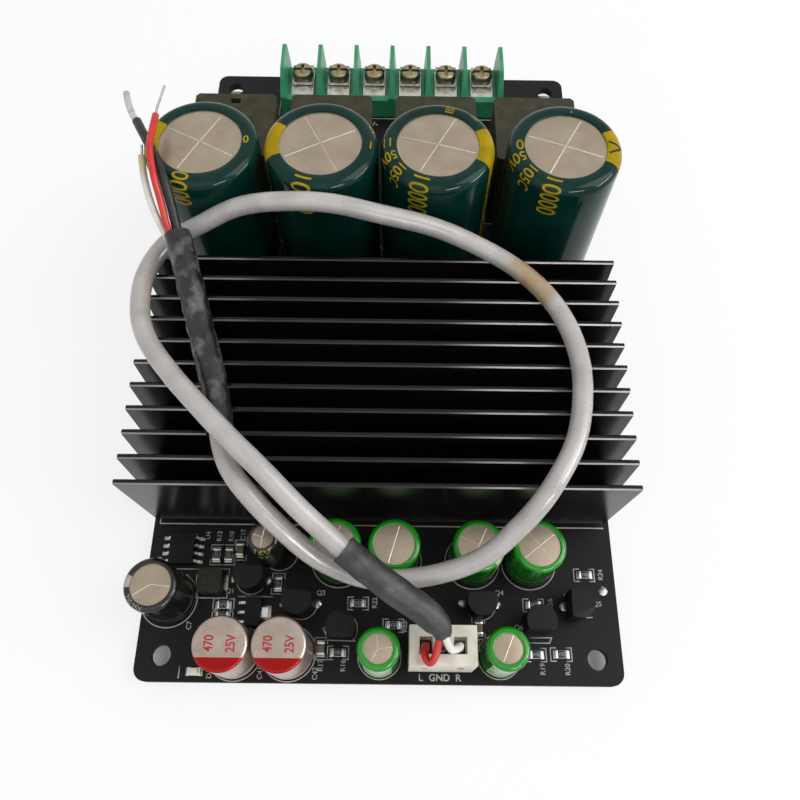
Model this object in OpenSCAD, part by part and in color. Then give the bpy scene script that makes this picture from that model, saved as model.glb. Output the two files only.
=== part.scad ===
// Stereo audio power amplifier board: a drilled circuit board with a finned heatsink over the
// amplifier chip, filter capacitors, output inductors, a barrier terminal block and a signal lead.
// Millimetres, +Z up. X runs across the board, +Y from the signal end to the terminal block.
// The origin is under the middle of the board, on the surface that the lead ends stand on.

/* [Board] */
// Length of the circuit board
board_l = 127.2; // [126:0.1:150]
// Thickness of the circuit board
board_t = 1.6; // [1:0.1:2.4]
// Radius of the board's corners
corner_r = 2; // [0.5:0.5:3]
// Diameter of the four mounting holes
mount_hole_d = 3.2; // [2.2:0.1:4]
// Distance from the mounting holes to the board's edges
mount_inset = 3.9; // [3.5:0.1:5]
// Length of board in front of the heatsink
front_zone = 24.3; // [23.6:0.1:34]
// How far the lead ends stand out under the board
tail_len = 2; // [1.8:0.1:3]

/* [Heatsink] */
// Number of fins
fin_count = 11; // [5:1:16]
// Distance from fin to fin
fin_pitch = 3.8; // [3:0.1:6]
// Thickness of a fin at its tip
fin_tip_t = 0.8; // [0.6:0.1:1.6]
// How much thicker a fin is at its root
fin_taper = 0.6; // [0:0.1:0.8]
// Height of the fins over the base
fin_h = 17.1; // [8:0.1:30]
// How far the outer fins lean out from foot to tip
wall_lean = 1; // [0:0.1:1.5]
// Thickness of the base
sink_base_t = 4; // [3.5:0.5:8]
// Distance from the heatsink's ends to the board's sides
sink_end_gap = 0.85; // [0.5:0.05:6]
// Distance from the fixing screws to the heatsink's ends
sink_screw_inset = 7; // [5:0.5:15]
// Thread diameter of the fixing screws
sink_screw_d = 3; // [2:0.5:4]

/* [Amplifier chip] */
// Length of the amplifier chip
chip_l = 14; // [10:0.5:20]
// Width of the amplifier chip's body
chip_w = 6.1; // [4:0.1:10]
// Height of the amplifier chip
chip_h = 1.2; // [1:0.1:2.5]
// Thickness of the thermal pad between chip and heatsink
pad_t = 0.15; // [0.1:0.05:1]

/* [Filter capacitors] */
// Diameter of a filter capacitor
filter_d = 18; // [17.5:0.5:25]
// Height of a filter capacitor
filter_h = 33; // [20:1:50]
// Gap between neighbouring filter capacitors
filter_gap = 1; // [0.5:0.25:4]
// Gap between the heatsink and the filter capacitors
filter_setback = 4.9; // [1:0.1:10]

/* [Output inductors] */
// Width of an output inductor
choke_w = 15; // [12:0.5:17]
// Depth of an output inductor
choke_d = 15; // [10:0.5:20]
// Height of an output inductor
choke_h = 18; // [10:0.5:25]
// Gap between the filter capacitors and the output inductors
choke_setback = 1.8; // [0.5:0.1:8]

/* [Terminal block] */
// Distance from terminal to terminal
terminal_pitch = 7.62; // [7:0.02:9.5]
// Depth of the terminal block
terminal_d = 11; // [10.6:0.1:14]
// Height of the plastic base under the contacts
terminal_base_h = 4; // [3.6:0.1:6]
// How far the barriers rise over the base
barrier_rise = 5.5; // [3.5:0.1:8]
// Thickness of a barrier at its foot
barrier_t = 1.5; // [1:0.1:1.6]
// Diameter of the terminal screws
terminal_screw_d = 2.5; // [2:0.1:3]
// Diameter of the terminal screw heads
terminal_head_d = 4.4; // [3.6:0.1:4.6]

/* [Signal connector] */
// Distance from pin to pin
pin_pitch = 2.5; // [2.5:0.02:2.54]
// Thickness of the square pins
pin_t = 0.64; // [0.5:0.02:0.7]
// Height of the header's shroud
header_h = 7; // [6:0.1:9]
// Depth of the header
header_w = 5.75; // [5.4:0.05:6.2]
// Wall of the header's shroud
header_wall = 0.8; // [0.5:0.05:0.9]
// Height of the plug's head over the header
plug_head_h = 2.6; // [2:0.1:4]

/* [Small parts] */
// Diameter of the polymer capacitors
polymer_d = 8; // [5:0.1:8.2]
// Height of the polymer capacitors
polymer_h = 11.5; // [6:0.5:14]
// Diameter of the coupling capacitors
coupling_d = 8; // [5:0.1:8.6]
// Height of the coupling capacitors
coupling_h = 11.5; // [7:0.5:12]
// Diameter of the bypass capacitors
bypass_d = 6.3; // [4:0.1:7]
// Height of the bypass capacitors
bypass_h = 11; // [5:0.5:14]
// Diameter of the supply capacitor
supply_d = 8; // [5:0.1:9]
// Height of the supply capacitor
supply_h = 12; // [7:0.5:18]
// Diameter of the timing capacitor
timing_d = 5; // [4:0.1:6]
// Height of the timing capacitor
timing_h = 11; // [5:0.5:14]
// Diameter of a transistor's round body
transistor_d = 4.7; // [4:0.1:5.2]
// Height of a transistor's body
transistor_h = 4.8; // [4:0.1:6]

/* [Signal lead] */
// Diameter of the screened cable
cable_d = 3; // [2:0.1:3.6]
// Diameter of the shrunk sleeves
sleeve_d = 4.2; // [3.8:0.1:5]
// Diameter of the insulated wires
wire_d = 1.1; // [0.8:0.1:1.3]
// Diameter of the sleeved screen wire
screen_d = 1.5; // [1:0.1:1.6]

/* [Hidden] */

// Numbers of repeated parts
filter_count = 4;
terminal_ways = 6;
pin_count = 3;
chip_pins = 44;
preamp_pins = 8;

// Clearances
drill_gap = 0.15;
solder_gap = 0.03;
thread_gap = 0.05;
clamp_gap = 0.1;
seat_gap = 0.04;
fit_gap = 0.15;
overlap = 0.2;

// The board, stacked from front to back
filter_pitch = filter_d + filter_gap;
board_w = filter_count * filter_pitch;
fin_root_t = fin_tip_t + fin_taper;
sink_d = (fin_count - 1) * fin_pitch + fin_tip_t;
back_margin = 0.4;
front_y = -board_l / 2;
sink_y = front_y + front_zone;
filter_y = sink_y + sink_d + filter_setback + filter_d / 2;
choke_y = filter_y + filter_d / 2 + choke_setback + choke_d / 2;
terminal_y = board_l / 2 - back_margin - terminal_d;
board_top = tail_len + board_t;
mount_places = [
    for (sx = [-1, 1], sy = [-1, 1]) [sx * (board_w / 2 - mount_inset), sy * (board_l / 2 - mount_inset)]
];

// How far the parts stand beside their even places across the board
sink_shift = -0.25;
filter_shifts = [-0.5, -0.7, -1.3, -0.3];
choke_shifts = [-0.1, -1.1, -0.7, -1.2];
terminal_shift = 0.4;

// Heatsink and amplifier chip
sink_w = board_w - 2 * sink_end_gap;
sink_z = board_top + chip_h + pad_t;
fin_flare = 0.4;
fin_chamfer = 0.2;
sink_mid_y = sink_y + sink_d / 2;
sink_screw_places = [for (s = [-1, 1]) [sink_shift + s * (sink_w / 2 - sink_screw_inset), sink_mid_y]];
sink_screw_roof = 1;
sink_screw_end_gap = 0.3;
sink_head_d = 1.85 * sink_screw_d;
sink_head_h = 1.4;
sink_head_edge = 0.6;
sink_slot_w = 0.6;
sink_slot_h = 0.7;
washer_d = 2.2 * sink_screw_d;
washer_t = 0.3;
pad_share = 0.9;

// Places of small parts, from the middle of the front edge
polymer_places = [[-22.6, 4.4], [-14.2, 4.4]];
supply_place = [-33.5, 12.5];
coupling_places = [[-6.9, 19], [2.1, 19], [14.9, 19], [24.1, 19]];
bypass_places = [[0, 4], [18.7, 4.2]];
timing_place = [-17.9, 20];
preamp_place = [-32.6, 20.4];
regulator_place = [-20.1, 10.5];
power_inductor_place = [-27.3, 15.2];
led_place = [-28.5, 1.5];
header_place = [9.4, 4.7];
// Each transistor: place and the way its flat side turns
transistor_places = [
    [-20.6, 15.6, 0], [-12.9, 11.8, 0], [-5.9, 7.8, 180], [15.8, 11.9, 0], [30.7, 11.7, 90], [24.7, 9, 180]
];
// Each chip part: place and turn
resistor_places = [
    [-27, 19.7, 90], [-25, 19.7, 90], [-25.1, 11.6, 0], [-25.1, 9.9, 0], [-16.6, 15.1, 90], [-3.6, 12.1, 0],
    [2.1, 8.7, 0], [-6.5, 4.5, 0], [33.1, 17, 0], [24.5, 12.1, 0], [24.4, 4.5, 0], [28.4, 4.6, 0]
];
chip_capacitor_places = [[-23.2, 20.5, 90], [-9.2, 5.1, 90], [15.6, 8.4, 90]];

function on_board(p) = [p.x, front_y + p.y];

// Lead spacings and sizes
filter_lead_pitch = 7.5;
filter_lead_d = 0.9;
choke_lead_pitch = 10;
choke_lead_d = 1.2;
small_lead_pitch = 3.5;
bypass_lead_pitch = 2.5;
timing_lead_pitch = 2;
small_lead_d = 0.6;
transistor_lead_pitch = 1.4;
transistor_lead_t = 0.45;
transistor_stand = 1.2;
contact_pin_w = 1;
contact_pin_t = 0.8;

// Surface-mounted parts
chip_reach = 1;
chip_mark_r = 0.3;
preamp_l = 4.9;
preamp_w = 3.9;
preamp_h = 1.5;
preamp_pitch = 1.27;
preamp_lead_w = 0.42;
smd_l = 2;
smd_w = 1.25;
smd_end = 0.4;
resistor_h = 0.55;
smd_capacitor_h = 0.85;
led_base_h = 0.5;
led_lens = [1.2, 1.1, 0.8];
regulator_body = [2.5, 4.5, 1.5];
regulator_lead = [1, 0.44, 0.4];
regulator_tab_w = 1.6;
regulator_pitch = 1.5;
coil_w = 4;
coil_h = 2.35;
coil_corner = 0.5;
coil_foot = [0.6, 2, 0.3];

// Cans: rubber foot, rolled groove, round shoulder and sunk top disc with its scores
foot_inset = 0.5;
foot_h = 0.35;
disc_sink = 0.3;
score_h = 0.15;
filter_disc_d = 0.72 * filter_d;
filter_shoulder = 1.6;
filter_groove_z = 4;
filter_score_turns = [62, 27, 62, 62];
filter_score_step = 90;
coupling_disc_d = 0.78 * coupling_d;
bypass_disc_d = 0.68 * bypass_d;
supply_disc_d = 0.76 * supply_d;
timing_disc_d = 0.78 * timing_d;
small_shoulder = 0.75;
small_groove_z = 1.8;
small_scores = [60, 240];
supply_scores = [0, 120, 240];

// Terminal block, from its front face
terminal_l = terminal_ways * terminal_pitch + barrier_t;
lip_w = 1;
lip_rise = 0.9;
base_back_gap = 0.6;
barrier_tip_t = 0.5 * barrier_t;
screw_setback = 6.2;
contact_pin_setback = 2.4;
contact_t = 0.7;
contact_w = 0.62 * terminal_pitch;
contact_behind = 2.1;
clamp_side_gap = 0.2;
clamp_w = contact_w - 2 * clamp_side_gap;
clamp_t = 0.6;
clamp_curl = 0.25;
clamp_lip = 0.3;
clamp_d = terminal_head_d + 2 * clamp_lip;
terminal_head_h = 1.5;
terminal_shank_end = 0.6;
screw_y = terminal_y + screw_setback;
contact_z = board_top + terminal_base_h;
clamp_z = contact_z + contact_t + seat_gap;
head_z = clamp_z + clamp_t + seat_gap;
terminal_places = [
    for (i = [0 : terminal_ways - 1])
        [terminal_shift + (i - (terminal_ways - 1) / 2) * terminal_pitch, screw_y]
];
pin_y = terminal_y + contact_pin_setback;
contact_pin_places = [for (p = terminal_places) [p.x, pin_y]];

// Signal header and plug
header_end = 2.45;
header_l = (pin_count - 1) * pin_pitch + 2 * header_end;
header_floor = 2;
pin_recess = 1.4;
pin_end_gap = 0.2;
key_rise = 1;
header_at = on_board(header_place);
header_pin_places = [
    for (i = [0 : pin_count - 1]) [header_at.x + (i - (pin_count - 1) / 2) * pin_pitch, header_at.y]
];
pin_top = board_top + header_h - pin_recess;
plug_z = board_top + header_floor + seat_gap;
plug_top = board_top + header_h + seat_gap + plug_head_h;
plug_body_l = header_l - 2 * header_wall - 2 * fit_gap;
plug_body_w = header_w - 2 * header_wall - 2 * fit_gap;
window_l = 1.9;
window_w = 2.4;
window_rise = 0.6;
socket_t = 1.7;
contact_wall = 0.3;
contact_length = 5.2;

// Drilled leads: place and the diameter round the lead
function pair(p, pitch, turn) =
    [for (s = [-1, 1]) [p.x + s * pitch / 2 * cos(turn), p.y + s * pitch / 2 * sin(turn)]];
filter_row = [for (i = [0 : filter_count - 1]) (i - (filter_count - 1) / 2) * filter_pitch];
filter_places = [for (i = [0 : filter_count - 1]) [filter_row[i] + filter_shifts[i], filter_y]];
choke_places = [for (i = [0 : filter_count - 1]) [filter_row[i] + choke_shifts[i], choke_y]];
square_round = sqrt(2);
drills = concat(
    [for (p = filter_places, q = pair(p, filter_lead_pitch, 0)) [q.x, q.y, filter_lead_d]],
    [for (p = choke_places, q = pair(p, choke_lead_pitch, 0)) [q.x, q.y, choke_lead_d]],
    [for (p = polymer_places, q = pair(on_board(p), small_lead_pitch, 90)) [q.x, q.y, small_lead_d]],
    [for (p = coupling_places, q = pair(on_board(p), small_lead_pitch, 0)) [q.x, q.y, small_lead_d]],
    [for (p = bypass_places, q = pair(on_board(p), bypass_lead_pitch, 90)) [q.x, q.y, small_lead_d]],
    [for (q = pair(on_board(supply_place), small_lead_pitch, 0)) [q.x, q.y, small_lead_d]],
    [for (q = pair(on_board(timing_place), timing_lead_pitch, 0)) [q.x, q.y, small_lead_d]],
    [
        for (p = transistor_places, k = [-1 : 1])
            [
                p.x + k * transistor_lead_pitch * cos(p.z),
                front_y + p.y + k * transistor_lead_pitch * sin(p.z),
                transistor_lead_t * square_round
            ]
    ],
    [for (p = contact_pin_places) [p.x, p.y, norm([contact_pin_w, contact_pin_t])]],
    [for (p = header_pin_places) [p.x, p.y, pin_t * square_round]]
);

// The signal lead's route, from the middle of the plug's top
lead_at = [header_at.x, header_at.y, plug_top];
plug_sleeve_route = [
    [-0.3, 0.7, 4.2], [-0.7, 1.8, 4.9], [-1.7, 2.8, 5.7], [-3.3, 3.9, 6.7], [-5.4, 5.1, 7.9],
    [-8.2, 6.8, 9.5], [-11.2, 8.8, 10.9], [-14.2, 11, 12]
];
cable_route = [
    [-12.5, 9.7, 11.4], [-15, 11.6, 12.4], [-20, 15.5, 15.2], [-25, 20, 17.7], [-30, 24.5, 19.2],
    [-34.5, 29, 19.7], [-39, 34, 18.7], [-43.5, 40, 17.2], [-46, 46, 15.7], [-46.5, 53, 14.7],
    [-44, 59, 14.7], [-38.5, 61.5, 16.5], [-32, 62.5, 19.7], [-25, 62, 21.7], [-17.5, 61.5, 22],
    [-10, 61, 20.2], [-2.5, 60.5, 18.2], [4, 59, 16.2], [11, 55.5, 14.7], [16, 50, 14.7],
    [19, 43.5, 14.7], [20, 36, 14.7], [18.5, 27, 14.7], [14.5, 19.5, 14.7], [10.5, 15, 11.2],
    [5, 11, 7.2], [-2.5, 9, 4.5], [-10.5, 8.5, 4.5], [-17.5, 10.5, 6.8], [-23, 14, 11.2],
    [-27.5, 18, 14.7], [-30.5, 22, 14.7], [-32, 26.5, 15.2], [-32, 29, 15.2]
];
tail_sleeve_route = [
    [-32, 26.5, 15.2], [-33.5, 33.5, 15.2], [-35.5, 40, 15.7], [-37.5, 46.5, 16.7], [-39.5, 53, 18.2],
    [-41, 57.5, 19.2]
];
plug_red_route = [
    [-0.9, 1.3, 4.5], [-0.8, 0.2, 3.7], [-1, -0.6, 3.1], [-1.2, -1.5, 2.5], [-1.6, -2.3, 2],
    [-2.1, -2.6, 1.6], [-2.6, -2, 1.3], [-2.8, -1.1, 0.9], [-2.7, -0.4, 0.2], [-2.5, 0, -0.8],
    [-2.5, 0, -2.5]
];
plug_white_route = [
    [-0.2, 1.3, 5.3], [0.1, 0.3, 4.6], [0.5, -0.4, 3.7], [0.9, -0.8, 2.8], [1.5, -0.8, 1.9],
    [2.1, -0.5, 1], [2.4, -0.2, 0.2], [2.5, 0, -0.8], [2.5, 0, -2.5]
];
plug_screen_route = [
    [-0.2, 2, 3.8], [0, 1.3, 3.2], [0, 0.7, 2.4], [0, 0.3, 1.4], [0, 0, 0.4], [0, 0, -1], [0, 0, -2.5]
];
tail_red_route = [
    [-41.1, 55.8, 19.8], [-42.2, 57.8, 20.4], [-43.1, 61, 22.5], [-44, 64.2, 24.8], [-44.8, 68.2, 26],
    [-44.8, 71.7, 26.2], [-44.8, 74.7, 26]
];
tail_white_route = [
    [-41.7, 55.8, 18.4], [-43, 57.8, 19.1], [-44.7, 61, 21.2], [-45.9, 64.7, 23], [-46.8, 68.7, 23.6]
];
tail_screen_route = [
    [-39.8, 55.8, 18.7], [-40.9, 57.8, 19.5], [-41.7, 61, 21.9], [-42.7, 64.2, 24], [-44.5, 68.2, 24.4],
    [-46.4, 71.7, 24.4], [-48.4, 75.4, 24]
];
red_end_route = [[-44.8, 73.7, 26], [-44.8, 76.2, 26], [-44.6, 78.2, 26], [-44.3, 80.8, 26]];
white_end_route = [[-46.6, 67.7, 23.4], [-46.9, 69.7, 23.7], [-47, 70.7, 23.8]];
screen_end_route = [[-47.8, 74.4, 24.1], [-49.1, 76.4, 24], [-50.2, 78.8, 24], [-51, 81.3, 24]];
tube_sides = 8;
strand_d = 0.4;
screen_strand_d = 1.1;

// A smooth path through hand-set points, and a tube swept along it
function curve(a, b, c, d, t) =
    ((2 * b) + (c - a) * t + (2 * a - 5 * b + 4 * c - d) * t * t + (3 * b - a - 3 * c + d) * t * t * t) / 2;
function smooth(p, steps) =
    concat(
        [
            for (i = [0 : len(p) - 2], j = [0 : steps - 1])
                curve(p[max(i - 1, 0)], p[i], p[i + 1], p[min(i + 2, len(p) - 1)], j / steps)
        ],
        [p[len(p) - 1]]
    );
function unit(v) = v / norm(v);
function square_to(v, axis) = unit(v - (v * axis) * axis);
function tangents(p) = [for (i = [0 : len(p) - 1]) unit(p[min(i + 1, len(p) - 1)] - p[max(i - 1, 0)])];
function carried(t) =
    [
        for (i = 0, n = square_to([0.3, 0.2, 1], t[0]); i < len(t);
             i = i + 1, n = square_to(n, t[min(i, len(t) - 1)])) n
    ];

module tube(route, d, steps) {
    path = smooth([for (p = route) lead_at + p], steps);
    along = tangents(path);
    side = carried(along);
    rings = len(path);
    points = [
        for (i = [0 : rings - 1], k = [0 : tube_sides - 1])
            path[i] + d / 2 * (cos(360 * k / tube_sides) * side[i]
                + sin(360 * k / tube_sides) * cross(along[i], side[i]))
    ];
    walls = [
        for (i = [0 : rings - 2], k = [0 : tube_sides - 1])
            let (a = i * tube_sides + k, b = i * tube_sides + (k + 1) % tube_sides)
                each [[a, a + tube_sides, b], [b, a + tube_sides, b + tube_sides]]
    ];
    first = [for (k = [0 : tube_sides - 1]) k];
    last = [for (k = [tube_sides - 1 : -1 : 0]) (rings - 1) * tube_sides + k];
    polyhedron(points, concat(walls, [first, last]));
}

// Circuit board with its mounting holes, screw holes and drilled lead holes
module pcb() {
    color([0.07, 0.07, 0.08])
        difference() {
            union() {
                translate([-board_w / 2 + corner_r, -board_l / 2, tail_len])
                    cube([board_w - 2 * corner_r, board_l, board_t]);
                translate([-board_w / 2, -board_l / 2 + corner_r, tail_len])
                    cube([board_w, board_l - 2 * corner_r, board_t]);
                for (sx = [-1, 1], sy = [-1, 1])
                    translate([sx * (board_w / 2 - corner_r), sy * (board_l / 2 - corner_r), tail_len])
                        cylinder(r = corner_r, h = board_t, $fn = 48);
            }
            for (p = mount_places)
                board_hole(p, mount_hole_d);
            for (p = sink_screw_places)
                board_hole(p, sink_screw_d + 2 * drill_gap);
            for (p = drills)
                board_hole(p, p.z + 2 * drill_gap);
        }
}

module board_hole(p, d) {
    translate([p.x, p.y, tail_len - overlap])
        cylinder(d = d, h = board_t + 2 * overlap, $fn = 32);
}

// Solder cones round every lead on the underside, each with its lead's bore
module solder_joints() {
    cone_h = 0.55 * tail_len;
    cone_w = 0.35;
    color([0.75, 0.75, 0.76])
        for (p = drills)
            translate([p.x, p.y, tail_len])
                rotate_extrude($fn = 32)
                    polygon([
                        [p.z / 2 + solder_gap, 0], [p.z / 2 + cone_w, 0],
                        [p.z / 2 + 0.7 * cone_w, -0.4 * cone_h], [p.z / 2 + 0.35 * cone_w, -cone_h],
                        [p.z / 2 + solder_gap, -cone_h]
                    ]);
}

// Extruded heatsink: one comb profile cut to length, with blind screw holes in its base
function reversed(p) = [for (i = [len(p) - 1 : -1 : 0]) p[i]];
function fin_side(i, sign) =
    let (
        y = fin_tip_t / 2 + i * fin_pitch,
        lean = i == 0 ? wall_lean : i == fin_count - 1 ? -wall_lean : 0,
        outer = sign < 0 ? i == 0 : i == fin_count - 1,
        foot = [[y + lean + sign * fin_tip_t / 2, 0]],
        root = [
            [y + lean + sign * (fin_root_t / 2 + fin_flare), sink_base_t],
            [y + lean + sign * fin_root_t / 2, sink_base_t + fin_flare]
        ],
        tip = [
            [y + sign * fin_tip_t / 2, sink_base_t + fin_h - fin_chamfer],
            [y + sign * (fin_tip_t / 2 - fin_chamfer), sink_base_t + fin_h]
        ]
    )
        concat(outer ? foot : root, tip);

module heatsink() {
    bore_h = sink_base_t - sink_screw_roof;
    comb = [for (i = [fin_count - 1 : -1 : 0]) each concat(fin_side(i, 1), reversed(fin_side(i, -1)))];
    color([0.05, 0.05, 0.055])
        difference() {
            translate([sink_shift - sink_w / 2, sink_y, sink_z])
                rotate([90, 0, 90])
                    linear_extrude(sink_w)
                        polygon(comb);
            for (p = sink_screw_places)
                translate([p.x, p.y, sink_z - overlap])
                    cylinder(d = sink_screw_d + 2 * thread_gap, h = bore_h + overlap, $fn = 32);
        }
}

// Screws from under the board into the heatsink's base, each with its washer
module heatsink_screws() {
    tip_z = sink_z + sink_base_t - sink_screw_roof - sink_screw_end_gap;
    head_top = tail_len - washer_t;
    head_low = head_top - sink_head_h;
    head_r = sink_head_d / 2;
    color([0.72, 0.72, 0.74])
        for (p = sink_screw_places)
            translate([p.x, p.y, 0])
                difference() {
                    union() {
                        translate([0, 0, head_low])
                            rotate_extrude($fn = 48)
                                polygon([
                                    [0, 0], [head_r - sink_head_edge, 0], [head_r, sink_head_edge],
                                    [head_r, sink_head_h], [0, sink_head_h]
                                ]);
                        translate([0, 0, head_top - overlap])
                            cylinder(d = washer_d, h = washer_t + overlap, $fn = 48);
                        translate([0, 0, head_top])
                            cylinder(d = sink_screw_d, h = tip_z - head_top, $fn = 32);
                    }
                    for (turn = [0, 90])
                        rotate(turn)
                            translate([-sink_screw_d / 2, -sink_slot_w / 2, head_low - overlap])
                                cube([sink_screw_d, sink_slot_w, sink_slot_h + overlap]);
                }
}

module thermal_pad() {
    color([0.8, 0.8, 0.82])
        translate([-pad_share * chip_w / 2, sink_mid_y - pad_share * chip_l / 2, board_top + chip_h])
            cube([pad_share * chip_w, pad_share * chip_l, pad_t]);
}

// Chip package with bent leads along two sides, its length along Y
module lead_row_chip(body_l, body_w, body_h, pins, pitch, lead_w, reach, mark_r) {
    stand = 0.12;
    lead_t = 0.16;
    mark_h = 0.08;
    knee = 0.45 * reach;
    mid_z = body_h / 2;
    difference() {
        union() {
            translate([-body_w / 2, -body_l / 2, stand])
                cube([body_w, body_l, body_h - stand]);
            for (side = [0, 1], i = [0 : pins / 2 - 1])
                mirror([side, 0, 0])
                    translate([body_w / 2, (i - (pins / 2 - 1) / 2) * pitch + lead_w / 2, 0])
                        rotate([90, 0, 0])
                            linear_extrude(lead_w)
                                polygon([
                                    [-overlap, mid_z], [knee, mid_z], [knee + lead_t, lead_t],
                                    [reach, lead_t], [reach, 0], [knee, 0],
                                    [knee - lead_t, mid_z - lead_t], [-overlap, mid_z - lead_t]
                                ]);
        }
        translate([body_w / 2 - 3 * mark_r, body_l / 2 - 3 * mark_r, body_h - mark_h])
            cylinder(r = mark_r, h = 2 * mark_h, $fn = 24);
    }
}

module amplifier_chip() {
    pitch = chip_l / (chip_pins / 2 + 0.6);
    color([0.12, 0.12, 0.13])
        translate([0, sink_mid_y, board_top])
            lead_row_chip(chip_l, chip_w, chip_h, chip_pins, pitch, 0.4 * pitch, chip_reach, chip_mark_r);
}

module preamp_chip() {
    color([0.12, 0.12, 0.13])
        translate([on_board(preamp_place).x, on_board(preamp_place).y, board_top])
            lead_row_chip(
                preamp_l, preamp_w, preamp_h, preamp_pins, preamp_pitch, preamp_lead_w, chip_reach,
                chip_mark_r
            );
}

// A sleeved can: rubber foot, rolled groove, round shoulder and a sunk top disc
function arc(cx, cz, r, from, to, steps) =
    [for (i = [0 : steps]) let (a = from + (to - from) * i / steps) [cx + r * cos(a), cz + r * sin(a)]];
function can_profile(r, h, disc_r, shoulder, groove_z, groove) =
    concat(
        [
            [0, 0], [r - foot_inset, 0], [r - foot_inset, foot_h], [r, 2 * foot_h], [r, groove_z - groove],
            [r - groove, groove_z], [r, groove_z + groove]
        ],
        arc(r - shoulder, h - shoulder, shoulder, 0, 90, 5),
        [[disc_r, h], [disc_r, h - disc_sink], [0, h - disc_sink]]
    );

module can(p, d, h, disc_d, shoulder, groove_z, lead_pitch, lead_d, lead_turn, scores) {
    groove = 0.035 * d;
    score_w = 0.02 * disc_d;
    translate([p.x, p.y, 0]) {
        difference() {
            translate([0, 0, board_top])
                rotate_extrude($fn = 64)
                    polygon(can_profile(d / 2, h, disc_d / 2, shoulder, groove_z, groove));
            for (turn = scores)
                rotate(turn)
                    translate([0, -score_w / 2, board_top + h - disc_sink - score_h])
                        cube([0.46 * disc_d, score_w, 2 * score_h]);
        }
        for (q = pair([0, 0], lead_pitch, lead_turn))
            translate([q.x, q.y, 0])
                cylinder(d = lead_d, h = board_top + overlap, $fn = 16);
    }
}

// Filter capacitors
module filter_capacitor(i) {
    color([0.07, 0.29, 0.26])
        can(
            filter_places[i], filter_d, filter_h, filter_disc_d, filter_shoulder, filter_groove_z,
            filter_lead_pitch, filter_lead_d, 0,
            [for (k = [0 : 3]) filter_score_turns[i] + k * filter_score_step]
        );
}

module coupling_capacitor(i) {
    color([0.1, 0.6, 0.15])
        can(
            on_board(coupling_places[i]), coupling_d, coupling_h, coupling_disc_d, small_shoulder,
            small_groove_z, small_lead_pitch, small_lead_d, 0, small_scores
        );
}

module bypass_capacitor(i) {
    color([0.1, 0.6, 0.15])
        can(
            on_board(bypass_places[i]), bypass_d, bypass_h, bypass_disc_d, small_shoulder, small_groove_z,
            bypass_lead_pitch, small_lead_d, 90, small_scores
        );
}

module supply_capacitor() {
    color([0.06, 0.06, 0.07])
        can(
            on_board(supply_place), supply_d, supply_h, supply_disc_d, small_shoulder, small_groove_z,
            small_lead_pitch, small_lead_d, 0, supply_scores
        );
}

module timing_capacitor() {
    color([0.1, 0.35, 0.12])
        can(
            on_board(timing_place), timing_d, timing_h, timing_disc_d, small_shoulder, small_groove_z,
            timing_lead_pitch, small_lead_d, 0, small_scores
        );
}

// Polymer capacitors: bare cans with a tight top edge
module polymer_capacitor(i) {
    r = polymer_d / 2;
    edge = 0.45;
    groove_z = 1.3;
    groove = 0.3;
    p = on_board(polymer_places[i]);
    color([0.82, 0.82, 0.8])
        translate([p.x, p.y, 0]) {
            translate([0, 0, board_top])
                rotate_extrude($fn = 64)
                    polygon(concat(
                        [
                            [0, 0], [r - foot_inset, 0], [r - foot_inset, foot_h], [r, 2 * foot_h],
                            [r, groove_z], [r - groove, groove_z + groove],
                            [r - groove, groove_z + 2 * groove], [r, groove_z + 3 * groove]
                        ],
                        arc(r - edge, polymer_h - edge, edge, 0, 90, 4),
                        [[0, polymer_h]]
                    ));
            for (q = pair([0, 0], small_lead_pitch, 90))
                translate([q.x, q.y, 0])
                    cylinder(d = small_lead_d, h = board_top + overlap, $fn = 16);
        }
}

// Output inductors: square ferrite shells closed round a coil, each with a pocket near one edge
module output_inductor(i) {
    p = choke_places[i];
    chamfer = 0.6;
    pocket = [1.8, 1.2, 2.3];
    pocket_inset = 1.2;
    pocket_side = i == 0 ? 1 : -1;
    half_w = choke_w / 2;
    half_d = choke_d / 2;
    pocket_y = pocket_side * (half_d - pocket_inset - pocket.y / 2);
    color([0.3, 0.28, 0.24])
        translate([p.x, p.y, 0]) {
            difference() {
                translate([0, 0, board_top])
                    linear_extrude(choke_h)
                        polygon([
                            [-half_w + chamfer, -half_d], [half_w - chamfer, -half_d],
                            [half_w, -half_d + chamfer], [half_w, half_d - chamfer],
                            [half_w - chamfer, half_d], [-half_w + chamfer, half_d],
                            [-half_w, half_d - chamfer], [-half_w, -half_d + chamfer]
                        ]);
                translate([-pocket.x / 2, pocket_y - pocket.y / 2, board_top + choke_h - pocket.z])
                    cube([pocket.x, pocket.y, pocket.z + overlap]);
            }
            for (q = pair([0, 0], choke_lead_pitch, 0))
                translate([q.x, q.y, 0])
                    cylinder(d = choke_lead_d, h = board_top + overlap, $fn = 20);
        }
}

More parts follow.
